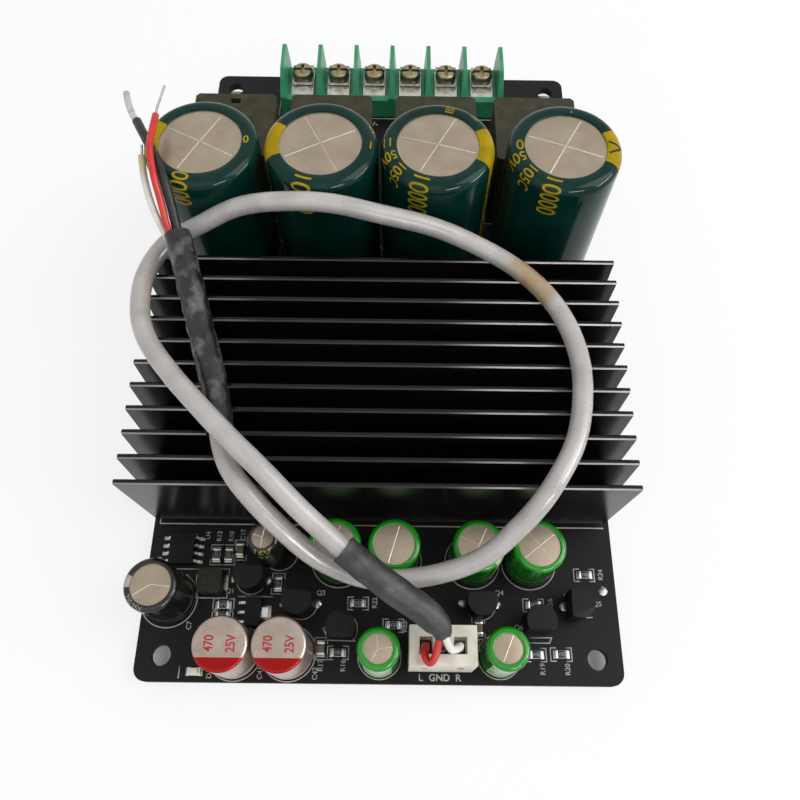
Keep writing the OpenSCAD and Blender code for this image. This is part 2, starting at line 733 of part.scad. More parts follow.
// Barrier terminal block: a base with a front lip, seven barriers, screw pockets and pin slots
module terminal_block() {
    base_d = terminal_d - base_back_gap;
    edge = 0.5;
    pocket_d = 1.4 * terminal_screw_d;
    pin_slot = [contact_pin_w + 2 * seat_gap, contact_pin_t + 2 * seat_gap];
    color([0.12, 0.5, 0.32])
        difference() {
            union() {
                translate([terminal_shift - terminal_l / 2, terminal_y, board_top])
                    rotate([90, 0, 90])
                        linear_extrude(terminal_l)
                            polygon([
                                [0, 0], [base_d, 0], [base_d, terminal_base_h - edge],
                                [base_d - edge, terminal_base_h], [lip_w, terminal_base_h],
                                [lip_w, terminal_base_h + lip_rise],
                                [edge, terminal_base_h + lip_rise], [0, terminal_base_h + lip_rise - edge]
                            ]);
                for (i = [0 : terminal_ways])
                    translate([terminal_shift + (i - terminal_ways / 2) * terminal_pitch, terminal_y, 0])
                        translate([0, 0, board_top])
                            barrier();
            }
            for (p = terminal_places)
                translate([p.x, p.y, board_top + terminal_shank_end - seat_gap])
                    cylinder(d = pocket_d, h = terminal_base_h, $fn = 32);
            for (p = contact_pin_places)
                translate([p.x - pin_slot.x / 2, p.y - pin_slot.y / 2, board_top - overlap])
                    cube([pin_slot.x, pin_slot.y, terminal_base_h + 2 * overlap]);
        }
}

// One barrier: a wall with a sloped front that grows thinner from the base to its top
module barrier() {
    h = terminal_base_h + barrier_rise;
    slope = 3.4;
    corner = 0.6;
    foot = barrier_t / 2;
    tip = barrier_tip_t / 2;
    intersection() {
        translate([-foot, 0, 0])
            rotate([90, 0, 90])
                linear_extrude(barrier_t)
                    polygon([
                        [0, 0], [terminal_d, 0], [terminal_d, h - corner], [terminal_d - corner, h],
                        [slope, h], [0, terminal_base_h + lip_rise]
                    ]);
        translate([0, terminal_d + overlap, 0])
            rotate([90, 0, 0])
                linear_extrude(terminal_d + 2 * overlap)
                    polygon([
                        [-foot, -overlap], [foot, -overlap], [foot, terminal_base_h], [tip, h + overlap],
                        [-tip, h + overlap], [-foot, terminal_base_h]
                    ]);
    }
}

// Contact plates: a tapped plate on the base, with a pin down through the board
module terminal_contacts() {
    tapped_d = terminal_screw_d + 2 * thread_gap;
    plate_y = terminal_y + lip_w + seat_gap;
    color([0.78, 0.76, 0.7])
        for (p = terminal_places)
            translate([p.x, 0, 0])
                difference() {
                    union() {
                        translate([-contact_w / 2, plate_y, contact_z])
                            cube([contact_w, screw_y + contact_behind - plate_y, contact_t]);
                        translate([-contact_pin_w / 2, pin_y - contact_pin_t / 2, 0])
                            cube([contact_pin_w, contact_pin_t, contact_z + overlap]);
                    }
                    translate([0, screw_y, contact_z - overlap])
                        cylinder(d = tapped_d, h = contact_t + 2 * overlap, $fn = 32);
                }
}

// Wire clamp: a loose plate under the screw's head, with its front and back edges curled up
module wire_clamp(i) {
    half = clamp_d / 2;
    flat = terminal_head_d / 2 + clamp_gap;
    color([0.82, 0.82, 0.82])
        translate([terminal_places[i].x, terminal_places[i].y, clamp_z])
            difference() {
                translate([-clamp_w / 2, 0, 0])
                    rotate([90, 0, 90])
                        linear_extrude(clamp_w)
                            polygon([
                                [-half, clamp_curl], [-flat, 0], [flat, 0], [half, clamp_curl],
                                [half, clamp_curl + clamp_t], [flat, clamp_t], [-flat, clamp_t],
                                [-half, clamp_curl + clamp_t]
                            ]);
                translate([0, 0, -overlap])
                    cylinder(d = terminal_screw_d + 2 * clamp_gap, h = clamp_t + 2 * overlap, $fn = 32);
            }
}

// Terminal screw: pan head with a slot and a shorter cross slot
module terminal_screw(i) {
    head_r = terminal_head_d / 2;
    slot_w = 0.7;
    slot_h = 0.75;
    cross_l = 2.8;
    shank_z = board_top + terminal_shank_end;
    color([0.74, 0.66, 0.52])
        translate([terminal_places[i].x, terminal_places[i].y, 0])
            difference() {
                union() {
                    translate([0, 0, head_z])
                        rotate_extrude($fn = 48)
                            polygon([
                                [0, 0], [head_r, 0], [head_r, 0.55 * terminal_head_h],
                                [0.9 * head_r, 0.85 * terminal_head_h], [0.65 * head_r, terminal_head_h],
                                [0, terminal_head_h]
                            ]);
                    translate([0, 0, shank_z])
                        cylinder(d = terminal_screw_d, h = head_z + overlap - shank_z, $fn = 32);
                }
                translate([-head_r, -slot_w / 2, head_z + terminal_head_h - slot_h])
                    cube([2 * head_r, slot_w, 2 * slot_h]);
                translate([-slot_w / 2, -cross_l / 2, head_z + terminal_head_h - slot_h])
                    cube([slot_w, cross_l, 2 * slot_h]);
            }
}

// Signal header: an open shroud with two key slots in its front wall
module signal_header() {
    floor_z = board_top + header_floor;
    key_w = 1;
    key_x = pin_pitch * 1.1;
    color([0.9, 0.89, 0.84])
        difference() {
            translate([header_at.x - header_l / 2, header_at.y - header_w / 2, board_top])
                cube([header_l, header_w, header_h]);
            translate([
                header_at.x - header_l / 2 + header_wall, header_at.y - header_w / 2 + header_wall, floor_z
            ])
                cube([header_l - 2 * header_wall, header_w - 2 * header_wall, header_h]);
            for (s = [-1, 1])
                translate([
                    header_at.x + s * key_x - key_w / 2, header_at.y - header_w / 2 - overlap,
                    floor_z + key_rise
                ])
                    cube([key_w, header_wall + 2 * overlap, header_h]);
            for (p = header_pin_places)
                square_peg(p, pin_t + 2 * seat_gap, board_top - overlap, floor_z + overlap);
        }
}

module square_peg(p, t, low, high) {
    translate([p.x - t / 2, p.y - t / 2, low])
        cube([t, t, high - low]);
}

module header_pins() {
    color([0.8, 0.78, 0.7])
        for (p = header_pin_places)
            square_peg(p, pin_t, 0, pin_top);
}

// Plug: a body inside the shroud, a head over it and a window for each contact
module signal_plug() {
    color([0.93, 0.92, 0.87])
        difference() {
            union() {
                translate([header_at.x - plug_body_l / 2, header_at.y - plug_body_w / 2, plug_z])
                    cube([plug_body_l, plug_body_w, plug_top - plug_head_h - plug_z + overlap]);
                translate([header_at.x - header_l / 2, header_at.y - header_w / 2, plug_top - plug_head_h])
                    cube([header_l, header_w, plug_head_h]);
            }
            for (p = header_pin_places) {
                square_peg(p, socket_t, plug_z - overlap, plug_top);
                translate([p.x - window_l / 2, p.y - window_w / 2, plug_top - plug_head_h + window_rise])
                    cube([window_l, window_w, plug_head_h]);
            }
        }
}

module plug_contacts() {
    socket = pin_t + 2 * thread_gap;
    color([0.8, 0.78, 0.7])
        for (p = header_pin_places)
            difference() {
                square_peg(p, socket + 2 * contact_wall, plug_z + seat_gap, plug_z + contact_length);
                square_peg(p, socket, plug_z - overlap, pin_top + pin_end_gap);
            }
}

// The signal lead
module plug_wire_red() {
    color([0.8, 0.1, 0.08])
        tube(plug_red_route, wire_d, 2);
}

module plug_wire_white() {
    color([0.92, 0.9, 0.86])
        tube(plug_white_route, wire_d, 2);
}

module plug_wire_screen() {
    color([0.1, 0.1, 0.1])
        tube(plug_screen_route, wire_d, 2);
}

module plug_sleeve() {
    color([0.15, 0.15, 0.16])
        tube(plug_sleeve_route, sleeve_d, 2);
}

module signal_cable() {
    color([0.74, 0.73, 0.74])
        tube(cable_route, cable_d, 2);
}

module tail_sleeve() {
    color([0.15, 0.15, 0.16])
        tube(tail_sleeve_route, sleeve_d, 2);
}

module tail_wire_red() {
    color([0.85, 0.15, 0.1])
        tube(tail_red_route, wire_d, 2);
}

module tail_wire_white() {
    color([0.92, 0.9, 0.86])
        tube(tail_white_route, wire_d, 2);
}

module tail_wire_screen() {
    color([0.12, 0.12, 0.12])
        tube(tail_screen_route, screen_d, 2);
}

module tinned_ends() {
    color([0.78, 0.78, 0.78]) {
        tube(red_end_route, strand_d, 1);
        tube(white_end_route, strand_d, 1);
        tube(screen_end_route, screen_strand_d, 1);
    }
}

// Regulator: a flat body with three leads on one side and a wide tab on the other
module voltage_regulator() {
    p = on_board(regulator_place);
    half = regulator_body.x / 2;
    color([0.12, 0.12, 0.13])
        translate([p.x, p.y, board_top]) {
            translate([-half, -regulator_body.y / 2, 0])
                cube(regulator_body);
            for (k = [-1 : 1])
                translate([-half - regulator_lead.x, k * regulator_pitch - regulator_lead.y / 2, 0])
                    cube([regulator_lead.x + overlap, regulator_lead.y, regulator_lead.z]);
            translate([half - overlap, -regulator_tab_w / 2, 0])
                cube([regulator_lead.x + overlap, regulator_tab_w, regulator_lead.z]);
        }
}

// Moulded power inductor with a chamfered body on two metal feet
module power_inductor() {
    p = on_board(power_inductor_place);
    half = coil_w / 2;
    cut = coil_corner;
    color([0.2, 0.2, 0.2])
        translate([p.x, p.y, board_top]) {
            translate([0, 0, coil_foot.z / 2])
                linear_extrude(coil_h - coil_foot.z / 2)
                    polygon([
                        [-half + cut, -half], [half - cut, -half], [half, -half + cut], [half, half - cut],
                        [half - cut, half], [-half + cut, half], [-half, half - cut], [-half, -half + cut]
                    ]);
            for (s = [-1, 1])
                translate([s * (half - coil_foot.x / 2) - coil_foot.x / 2, -coil_foot.y / 2, 0])
                    cube(coil_foot);
        }
}

// Transistors: round bodies with one flat side, each on three leads
module transistors() {
    r = transistor_d / 2;
    flat = 0.55 * r;
    color([0.1, 0.1, 0.1])
        for (p = transistor_places)
            translate([p.x, front_y + p.y, 0])
                rotate(p.z) {
                    translate([0, 0, board_top + transistor_stand])
                        difference() {
                            cylinder(r = r, h = transistor_h, $fn = 48);
                            translate([-2 * r, flat, -overlap])
                                cube([4 * r, 2 * r, transistor_h + 2 * overlap]);
                        }
                    for (k = [-1 : 1])
                        square_peg(
                            [k * transistor_lead_pitch, 0], transistor_lead_t, 0,
                            board_top + transistor_stand + overlap
                        );
                }
}

// A chip part with metal ends that stand slightly proud of its body
module chip_part(l, w, h) {
    step = 0.05;
    translate([-l / 2 + step, -w / 2 + step, step])
        cube([l - 2 * step, w - 2 * step, h - 2 * step]);
    for (s = [-1, 1])
        translate([s * (l - smd_end) / 2 - smd_end / 2, -w / 2, 0])
            cube([smd_end, w, h]);
}

module chip_resistors() {
    color([0.1, 0.1, 0.1])
        for (p = resistor_places)
            translate([p.x, front_y + p.y, board_top])
                rotate(p.z)
                    chip_part(smd_l, smd_w, resistor_h);
}

module chip_capacitors() {
    color([0.5, 0.4, 0.28])
        for (p = chip_capacitor_places)
            translate([p.x, front_y + p.y, board_top])
                rotate(p.z)
                    chip_part(smd_l, smd_w, smd_capacitor_h);
}

module status_led() {
    p = on_board(led_place);
    color([0.9, 0.88, 0.75])
        translate([p.x, p.y, board_top]) {
            chip_part(smd_l, smd_w, led_base_h);
            translate([-led_lens.x / 2, -led_lens.y / 2, led_base_h / 2])
                cube([led_lens.x, led_lens.y, led_lens.z - led_base_h / 2]);
        }
}

pcb();
heatsink();
thermal_pad();
amplifier_chip();
heatsink_screws();
for (i = [0 : filter_count - 1]) {
    filter_capacitor(i);
    output_inductor(i);
}
terminal_block();
terminal_contacts();
for (i = [0 : terminal_ways - 1]) {
    wire_clamp(i);
    terminal_screw(i);
}
signal_header();
header_pins();
signal_plug();
plug_contacts();
plug_wire_red();
plug_wire_white();
plug_wire_screen();
plug_sleeve();
signal_cable();
tail_sleeve();
tail_wire_red();
tail_wire_white();
tail_wire_screen();
tinned_ends();
for (i = [0 : len(polymer_places) - 1])
    polymer_capacitor(i);
supply_capacitor();
for (i = [0 : len(coupling_places) - 1])
    coupling_capacitor(i);
for (i = [0 : len(bypass_places) - 1])
    bypass_capacitor(i);
timing_capacitor();
preamp_chip();
voltage_regulator();
power_inductor();
transistors();
chip_resistors();
chip_capacitors();
status_led();
solder_joints();
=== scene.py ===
import math

import bmesh
import bpy
from mathutils import Matrix, Vector, noise


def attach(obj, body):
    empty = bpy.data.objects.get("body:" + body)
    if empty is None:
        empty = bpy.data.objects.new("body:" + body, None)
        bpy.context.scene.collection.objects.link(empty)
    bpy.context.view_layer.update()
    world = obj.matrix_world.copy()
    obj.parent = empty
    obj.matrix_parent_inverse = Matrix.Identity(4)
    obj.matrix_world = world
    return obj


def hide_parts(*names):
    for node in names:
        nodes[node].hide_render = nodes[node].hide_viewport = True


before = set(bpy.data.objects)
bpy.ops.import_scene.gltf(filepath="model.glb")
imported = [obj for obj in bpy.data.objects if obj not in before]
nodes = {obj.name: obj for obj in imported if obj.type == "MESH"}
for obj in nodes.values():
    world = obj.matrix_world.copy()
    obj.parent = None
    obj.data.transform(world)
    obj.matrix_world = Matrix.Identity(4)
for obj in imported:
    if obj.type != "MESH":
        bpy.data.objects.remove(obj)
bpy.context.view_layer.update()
scene = bpy.context.scene

# The board in millimetres: its front edge, its top face and the middle of the plug's top
MM = 0.001
FRONT = -63.6
TOP = 3.6
LEAD_AT = Vector((9.4, -58.9, 13.24))
TAU = 2 * math.pi

# Places that more than one section uses, in millimetres; the second number or Y counts from the front edge
COUPLING_X = (-6.9, 2.1, 14.9, 24.1)
COUPLING_Y = 19
BYPASS_AT = ((0, 4), (18.7, 4.2))
POLYMER_X = (-22.6, -14.2)
POLYMER_Y = 4.4
POLYMER_H = 11.5
PREAMP_AT = (-32.6, 20.4)
REGULATOR_AT = (-20.1, 10.5)
POWER_INDUCTOR_AT = (-27.3, 15.2)
PRINT_LIFT = 0.012


# Camera, light and floor

# The camera fitted to the photo: its turns in degrees, its place in millimetres and its lens in pixels
PITCH, YAW, ROLL = (math.radians(degrees) for degrees in (65.723, 0.608, 1.259))
CAMERA_AT = Vector((2.2135, -72.0575, 126.37))
PICTURE_WIDTH = 800
FOCAL_LENGTH = 750.49
PICTURE_RISE = 6.01
SENSOR_WIDTH = 36

# The floor's reach in metres, half the footprint that stays in shadow in millimetres, and strengths of light
FLOOR_REACH = 3.0
FOOTPRINT = {"X": 37.2, "Y": 62.8}
FLOOR_GLOW = 0.76
AMBIENT = 0.56


def make_camera():
    data = bpy.data.cameras.new("camera")
    data.sensor_width = SENSOR_WIDTH
    data.lens = SENSOR_WIDTH * FOCAL_LENGTH / PICTURE_WIDTH
    data.shift_y = PICTURE_RISE / PICTURE_WIDTH
    data.clip_start = 2 * MM
    camera = bpy.data.objects.new("camera", data)
    scene.collection.objects.link(camera)
    matrix = Matrix.Translation(CAMERA_AT * MM)
    for angle, axis in ((-YAW, "Z"), (math.pi / 2 - PITCH, "X"), (ROLL, "Z")):
        matrix = matrix @ Matrix.Rotation(angle, 4, axis)
    camera.matrix_world = matrix
    scene.camera = camera


def area_light(name, at, target, size, power, glint=False):
    """Rectangular lamp aimed at a target, in metres; a glint lights no matt surface."""
    data = bpy.data.lights.new(name, "AREA")
    data.shape = "RECTANGLE"
    data.size, data.size_y = size
    data.energy = power
    lamp = bpy.data.objects.new(name, data)
    lamp.location = at
    lamp.rotation_euler = (Vector(target) - Vector(at)).to_track_quat("-Z", "Y").to_euler()
    lamp.visible_diffuse = not glint
    scene.collection.objects.link(lamp)


def make_lights():
    board, cans = (0, 0, 0.02), (0, 0.013, 0.037)
    area_light("key", (0.5, -0.04, 0.56), board, (0.5, 0.5), 3.2)
    area_light("fill", (-0.2, -0.45, 0.55), board, (0.6, 0.6), 0.9)
    area_light("glint_side", (0.47, -0.08, 0.17), cans, (0.26, 0.04), 1.2, glint=True)
    area_light("glint_front", (0.22, -0.385, 0.25), cans, (0.2, 0.04), 0.95, glint=True)


def fill(node, inputs):
    """A node whose inputs are set to values or joined to sockets."""
    for name, value in inputs.items():
        if isinstance(value, bpy.types.NodeSocket):
            node.id_data.links.new(value, node.inputs[name])
        else:
            node.inputs[name].default_value = value
    return node


def add_node(tree, kind, inputs, **traits):
    node = tree.nodes.new(kind)
    for name, trait in traits.items():
        setattr(node, name, trait)
    return fill(node, inputs)


def maths(tree, operation, a, b=0):
    return add_node(tree, "ShaderNodeMath", {0: a, 1: b}, operation=operation).outputs[0]


def seen_directly(tree):
    """1 for camera, glossy and transmission rays, else 0."""
    path = tree.nodes.new("ShaderNodeLightPath")
    total = path.outputs["Is Camera Ray"]
    for name in ("Is Glossy Ray", "Is Transmission Ray"):
        total = maths(tree, "MAXIMUM", total, path.outputs[name])
    return total


def bare_tree(owner):
    """Emptied node tree of a world or a material."""
    owner.use_nodes = True
    owner.node_tree.nodes.clear()
    return owner.node_tree


def put_out(tree, kind, share, first, second):
    """Output of a node tree: the second shader over the first, by its share."""
    mix = add_node(tree, "ShaderNodeMixShader", {0: share, 1: first.outputs[0], 2: second.outputs[0]})
    add_node(tree, kind, {"Surface": mix.outputs[0]})


def make_world():
    """Plain soft light on the part, and white where the world itself is seen or mirrored."""
    world = bpy.data.worlds.new("studio")
    scene.world = world
    tree = bare_tree(world)
    ambient = add_node(tree, "ShaderNodeBackground", {"Color": (0.97, 0.985, 1, 1), "Strength": AMBIENT})
    white = add_node(tree, "ShaderNodeBackground", {"Color": (1, 1, 1, 1), "Strength": 1})
    put_out(tree, "ShaderNodeOutputWorld", seen_directly(tree), ambient, white)


def make_floor():
    """White paper that takes the part's shadow, brightened where it is seen beside the board."""
    material = bpy.data.materials.new("floor_white")
    tree = bare_tree(material)
    paper = add_node(tree, "ShaderNodeBsdfDiffuse", {"Color": (0.95, 0.95, 0.95, 1)})
    glow = add_node(tree, "ShaderNodeEmission", {"Color": (1, 1, 1, 1), "Strength": 1})
    place = add_node(tree, "ShaderNodeTexCoord", {})
    apart = add_node(tree, "ShaderNodeSeparateXYZ", {0: place.outputs["Object"]})
    beyond = [maths(tree, "GREATER_THAN", maths(tree, "ABSOLUTE", apart.outputs[axis]), half * MM)
              for axis, half in FOOTPRINT.items()]
    beside = maths(tree, "MULTIPLY", seen_directly(tree), maths(tree, "MAXIMUM", *beyond))
    share = maths(tree, "MULTIPLY", beside, FLOOR_GLOW)
    put_out(tree, "ShaderNodeOutputMaterial", share, paper, glow)
    mesh = bpy.data.meshes.new("floor")
    corners = [(x * FLOOR_REACH, y * FLOOR_REACH, 0) for x, y in ((-1, -1), (1, -1), (1, 1), (-1, 1))]
    mesh.from_pydata(corners, [], [(0, 1, 2, 3)])
    mesh.materials.append(material)
    floor = bpy.data.objects.new("floor", mesh)
    scene.collection.objects.link(floor)


# Materials

def rgb(colour):
    """Written screen colour, 0 to 255, as linear light."""
    linear = [c / 12.92 if c <= 0.04045 else ((c + 0.055) / 1.055) ** 2.4 for c in (v / 255 for v in colour)]
    return (*linear, 1)


class Look:
    """A procedural surface: two close colours in cloudy noise, uneven roughness and a fine relief."""

    def __init__(self, name, dark, light, scale=300, rough=0.5, spread=0.1, metal=0, spec=0.5, bump=0.2,
                 depth=0.02, grain=2500, stretch=(1, 1, 1), through=0):
        self.mat = bpy.data.materials.new(name)
        self.mat.use_nodes = True
        self.tree = self.mat.node_tree
        self.place = self.add("ShaderNodeTexCoord", {}).outputs["Object"]
        self.spot = self.add("ShaderNodeMapping", {"Vector": self.place, "Scale": stretch}).outputs[0]
        self.colour = self.ramp(self.cloud(scale), (0.32, dark), (0.68, light))
        least, most = max(rough - spread, 0.02), min(rough + spread, 1)
        worn = self.add("ShaderNodeMapRange", {
            "Value": self.cloud(scale * 2.3), "To Min": least, "To Max": most})
        relief = self.add("ShaderNodeBump", {
            "Height": self.cloud(grain, 2), "Strength": bump, "Distance": depth * MM})
        self.bsdf = fill(self.tree.nodes["Principled BSDF"], {
            "Metallic": metal, "Specular IOR Level": spec, "Roughness": worn.outputs[0],
            "Normal": relief.outputs[0]})
        if through:
            fill(self.bsdf, {"Subsurface Weight": through, "Subsurface Radius": (MM, MM, MM)})

    def add(self, kind, inputs, **traits):
        return add_node(self.tree, kind, inputs, **traits)

    def maths(self, operation, a, b=0):
        return maths(self.tree, operation, a, b)

    def cloud(self, scale, detail=4):
        settings = {"Vector": self.spot, "Scale": scale, "Detail": detail}
        return self.add("ShaderNodeTexNoise", settings).outputs["Fac"]

    def ramp(self, value, low, high):
        """Colour between two stops, each a position and a colour."""
        node = self.add("ShaderNodeValToRGB", {0: value})
        for stop, (where, colour) in zip(node.color_ramp.elements, (low, high)):
            stop.position, stop.color = where, rgb(colour)
        return node.outputs[0]

    def axis(self, name):
        return self.add("ShaderNodeSeparateXYZ", {0: self.place}).outputs[name]

    def near(self, at, inner, outer):
        """1 within inner millimetres of a point, fading to 0 at outer."""
        ends = {0: self.place, 1: [c * MM for c in at]}
        away = self.add("ShaderNodeVectorMath", ends, operation="DISTANCE").outputs["Value"]
        return self.fade(away, inner, outer)

    def fade(self, value, inner, outer):
        """1 on this side of inner and 0 beyond outer, in millimetres, with a smooth fall between."""
        settings = {"Value": value, "From Min": inner * MM, "From Max": outer * MM, "To Min": 1, "To Max": 0}
        return self.add("ShaderNodeMapRange", settings, interpolation_type="SMOOTHSTEP").outputs[0]

    def over(self, mask, colour, strength=1):
        """Another colour on top, where and as far as the mask lets it."""
        share = self.maths("MULTIPLY", mask, strength)
        node = self.add("ShaderNodeMix", {0: share, 6: self.colour, 7: rgb(colour)}, data_type="RGBA")
        self.colour = node.outputs[2]

    def done(self):
        fill(self.bsdf, {"Base Color": self.colour})
        return self.mat


def look(name, dark, light, **more):
    return Look(name, dark, light, **more).done()


MASK = look("solder_mask", (17, 14, 15), (24, 21, 22), scale=90, rough=0.42, spec=0.15, grain=1800, bump=0.12)
LAMINATE = look("laminate_edge", (34, 30, 26), (52, 46, 38), scale=900, rough=0.75, spec=0.2,
                stretch=(1, 1, 9))
INK = look("silkscreen_ink", (156, 154, 149), (184, 182, 177), scale=700, rough=0.7, spec=0.15, bump=0.1)
SOLDER = look("solder", (128, 127, 120), (172, 171, 164), scale=900, rough=0.36, metal=1, bump=0.25,
              depth=0.03, grain=1500)
ANODISED = look("black_anodised", (10, 9, 10), (17, 16, 18), scale=260, rough=0.22, spread=0.05, spec=0.24,
                bump=0.5, grain=9000, stretch=(0.06, 1, 1))
PAD = look("thermal_pad_grey", (170, 172, 176), (196, 198, 200), rough=0.8)
EPOXY = look("moulded_epoxy", (11, 10, 9), (19, 17, 16), scale=800, spec=0.18, bump=0.4, depth=0.03,
             grain=4200)
COIL = look("pressed_iron", (40, 38, 30), (55, 52, 43), scale=900, rough=0.6, spec=0.18, bump=0.4, depth=0.03,
            grain=4200)
TIN = look("tinned_lead", (170, 170, 172), (206, 206, 206), scale=900, rough=0.28, metal=1, bump=0.1)
STEEL = look("zinc_steel", (176, 178, 182), (206, 207, 208), scale=700, rough=0.3, metal=1, bump=0.15)
RUBBER = look("bung_rubber", (22, 22, 22), (34, 34, 34), rough=0.8, spec=0.2)
TEAL = look("teal_sleeve", (4, 39, 33), (8, 50, 43), scale=160, rough=0.14, spread=0.04, spec=0.15, bump=0.08,
            depth=0.03, grain=500)
GOLD = look("sleeve_gold_ink", (148, 125, 4), (172, 147, 12), scale=400, rough=0.28, spec=0.1, bump=0.08)
DARKINK = look("sleeve_dark_ink", (16, 20, 18), (26, 30, 28), scale=400, rough=0.35, spec=0.3, bump=0.08)
# Pale green: stripe ink, and on the bypass cans also a painted reflection.
PALE_GREEN_INK_AND_SHEEN = look("pale_green_ink_and_sheen", (140, 172, 130), (166, 196, 154), scale=400, rough=0.28, bump=0.08)
BLACKSLEEVE = look("black_sleeve", (17, 16, 14), (27, 26, 22), rough=0.2, spec=0.4, bump=0.08)
GREYINK = look("sleeve_grey_ink", (140, 138, 132), (176, 174, 166), scale=500, rough=0.45, bump=0.08)
OLIVESLEEVE = look("olive_sleeve", (26, 33, 18), (39, 48, 26), rough=0.2, spec=0.4, bump=0.08)
LIMEINK = look("sleeve_lime_ink", (132, 138, 34), (158, 162, 52), scale=500, rough=0.4, bump=0.08)
DISC = look("can_aluminium", (151, 138, 119), (164, 151, 133), rough=0.36, spread=0.05, metal=0.82, bump=0.06,
            grain=1600)
SCORE = look("score_line", (190, 180, 166), (210, 201, 188), scale=700, rough=0.34, metal=0.6, bump=0.06)
FERRITE = look("ferrite", (51, 49, 35), (66, 64, 48), scale=420, rough=0.72, spec=0.2, bump=0.5, depth=0.05,
               grain=2600)
BLOCK = look("terminal_green", (38, 124, 84), (58, 148, 108), scale=330, rough=0.34, spec=0.45, bump=0.15,
             grain=2200)
BRASS = look("dull_brass", (126, 117, 90), (162, 152, 122), scale=800, rough=0.34, metal=0.9)
CLAMP = look("clamp_plate", (176, 175, 166), (208, 206, 198), scale=700, rough=0.3, metal=1)
NYLON = look("nylon", (206, 201, 186), (227, 222, 210), scale=500, spec=0.35, bump=0.12, through=0.15)
RED = look("red_insulation", (188, 32, 22), (210, 47, 32), scale=600, rough=0.36, bump=0.12)
REDINK = look("red_figures", (146, 22, 26), (168, 40, 42), scale=700, bump=0.08)
BLACKWIRE = look("black_insulation", (20, 20, 20), (34, 34, 34), scale=600, rough=0.42, spec=0.35)
FILM = look("chip_film", (24, 24, 26), (36, 36, 40), scale=1200, rough=0.35, spec=0.4, bump=0.1)
CERAMIC = look("chip_ceramic", (88, 74, 56), (110, 94, 72), scale=1200)
LENS = look("led_lens", (232, 224, 180), (246, 240, 206), scale=900, rough=0.25, bump=0.05, through=0.2)
ALUMINA = look("chip_white", (226, 225, 220), (240, 239, 236), scale=900, rough=0.6, bump=0.1)


def fin_tip_highlight_look():
    """Pale fin tips, a painted highlight, darkened over the middle of their length."""
    tip = Look("fin_tip_painted_highlight", (112, 110, 108), (146, 144, 141), scale=500, rough=0.42, metal=0.6, bump=0.15,
               grain=1300, stretch=(0.1, 1, 1))
    middle_x, inner, outer = -5, 13, 24
    away = tip.maths("ABSOLUTE", tip.maths("SUBTRACT", tip.axis("X"), middle_x * MM))
    # The painted highlight fades out over the middle of the fins.
    tip.over(tip.fade(away, inner, outer), (22, 21, 22), strength=0.96)
    return tip.done()


def green_look():
    """Green sleeving, paler over the shoulder and top of its can: painted light where the light falls on it.
    """
    skin = Look("green_sleeve", (5, 88, 8), (12, 112, 13), scale=260, rough=0.15, spread=0.05, spec=0.45,
                bump=0.08, grain=700)
    painted_light_full_z, painted_light_none_z = TOP + 11, TOP + 9.9
    # Painted light: the top of the can is paler than its wall.
    skin.over(skin.fade(skin.axis("Z"), painted_light_full_z, painted_light_none_z), (26, 154, 20), strength=0.65)
    return skin.done()


def polymer_look():
    """Bare can with a red lacquered sector at the front of its top."""
    face = Look("lacquered_can", (154, 139, 129), (174, 158, 148), scale=420, rough=0.34, metal=0.75,
                bump=0.12, grain=2000)
    before_middle, down_edge = 1.9, 0.36
    front = face.maths("LESS_THAN", face.axis("Y"), (FRONT + POLYMER_Y - before_middle) * MM)
    high = face.maths("GREATER_THAN", face.axis("Z"), (TOP + POLYMER_H - down_edge) * MM)
    face.over(face.maths("MULTIPLY", front, high), (146, 9, 8))
    return face.done()


# Stains of the cable: middle, inner and outer reach in millimetres, strength, and colour
STAINS = (((23.1, -6.2, 27.9), 3.6, 6, 1, (160, 134, 86)),
          ((23.2, -6.2, 29.2), 0.5, 3, 0.4, (182, 142, 108)),
          ((-37.2, -9.4, 28.3), 1, 9, 0.3, (168, 156, 120)),
          ((-23.4, -33.4, 28.3), 1, 6, 0.35, (168, 146, 128)))


def cable_look():
    """Grey jacket with a worn brown stain, two yellowed places and faint grime."""
    jacket = Look("grey_jacket", (167, 163, 160), (187, 182, 179), scale=240, rough=0.27, spec=0.65, bump=0.1,
                  depth=0.03, grain=1800)
    blotch = jacket.ramp(jacket.cloud(330, 2), (0.3, (190, 190, 190)), (0.65, (255, 255, 255)))
    for at, inner, outer, strength, tone in STAINS:
        jacket.over(jacket.maths("MULTIPLY", jacket.near(at, inner, outer), blotch), tone, strength)
    grime = jacket.ramp(jacket.cloud(90), (0.58, (0, 0, 0)), (0.8, (110, 110, 110)))
    jacket.over(grime, (152, 147, 142))
    return jacket.done()


def white_look():
    """White insulation, yellowed near the bared end of the tail."""
    skin = Look("white_insulation", (222, 219, 208), (238, 236, 228), scale=600, rough=0.42, bump=0.12)
    bared_at, inner, outer = LEAD_AT + Vector((-46.8, 68.7, 23.6)), 1.6, 5.5
    skin.over(skin.near(bared_at, inner, outer), (205, 192, 118), strength=0.8)
    return skin.done()


def sleeve_look(name, dark, light, patch, strength, rough):
    """Shrunk sleeving with paler rubbed patches; strong patches also stand in for a painted highlight."""
    skin = Look(name, dark, light, scale=420, rough=rough, spread=0.12, spec=0.4, bump=0.4, depth=0.08,
                grain=800)
    rubbed_wear_and_sheen = skin.ramp(skin.cloud(330), (0.52, (0, 0, 0)), (0.72, (255, 255, 255)))
    skin.over(rubbed_wear_and_sheen, patch, strength)
    return skin.done()


FIN_TIP_PAINTED_HIGHLIGHT = fin_tip_highlight_look()
GREEN = green_look()
POLYMER = polymer_look()
JACKET = cable_look()
WHITE = white_look()
PLUG_SHRINK = sleeve_look("grey_shrink", (38, 37, 37), (52, 51, 50), (112, 111, 109), 0.25, 0.5)
# On the black tail sleeve the pale patches are partly rubbed wear and partly painted highlight.
TAIL_SHRINK = sleeve_look("black_shrink", (20, 19, 19), (40, 39, 38), (146, 144, 141), 0.5, 0.3)


# Shapes, in millimetres

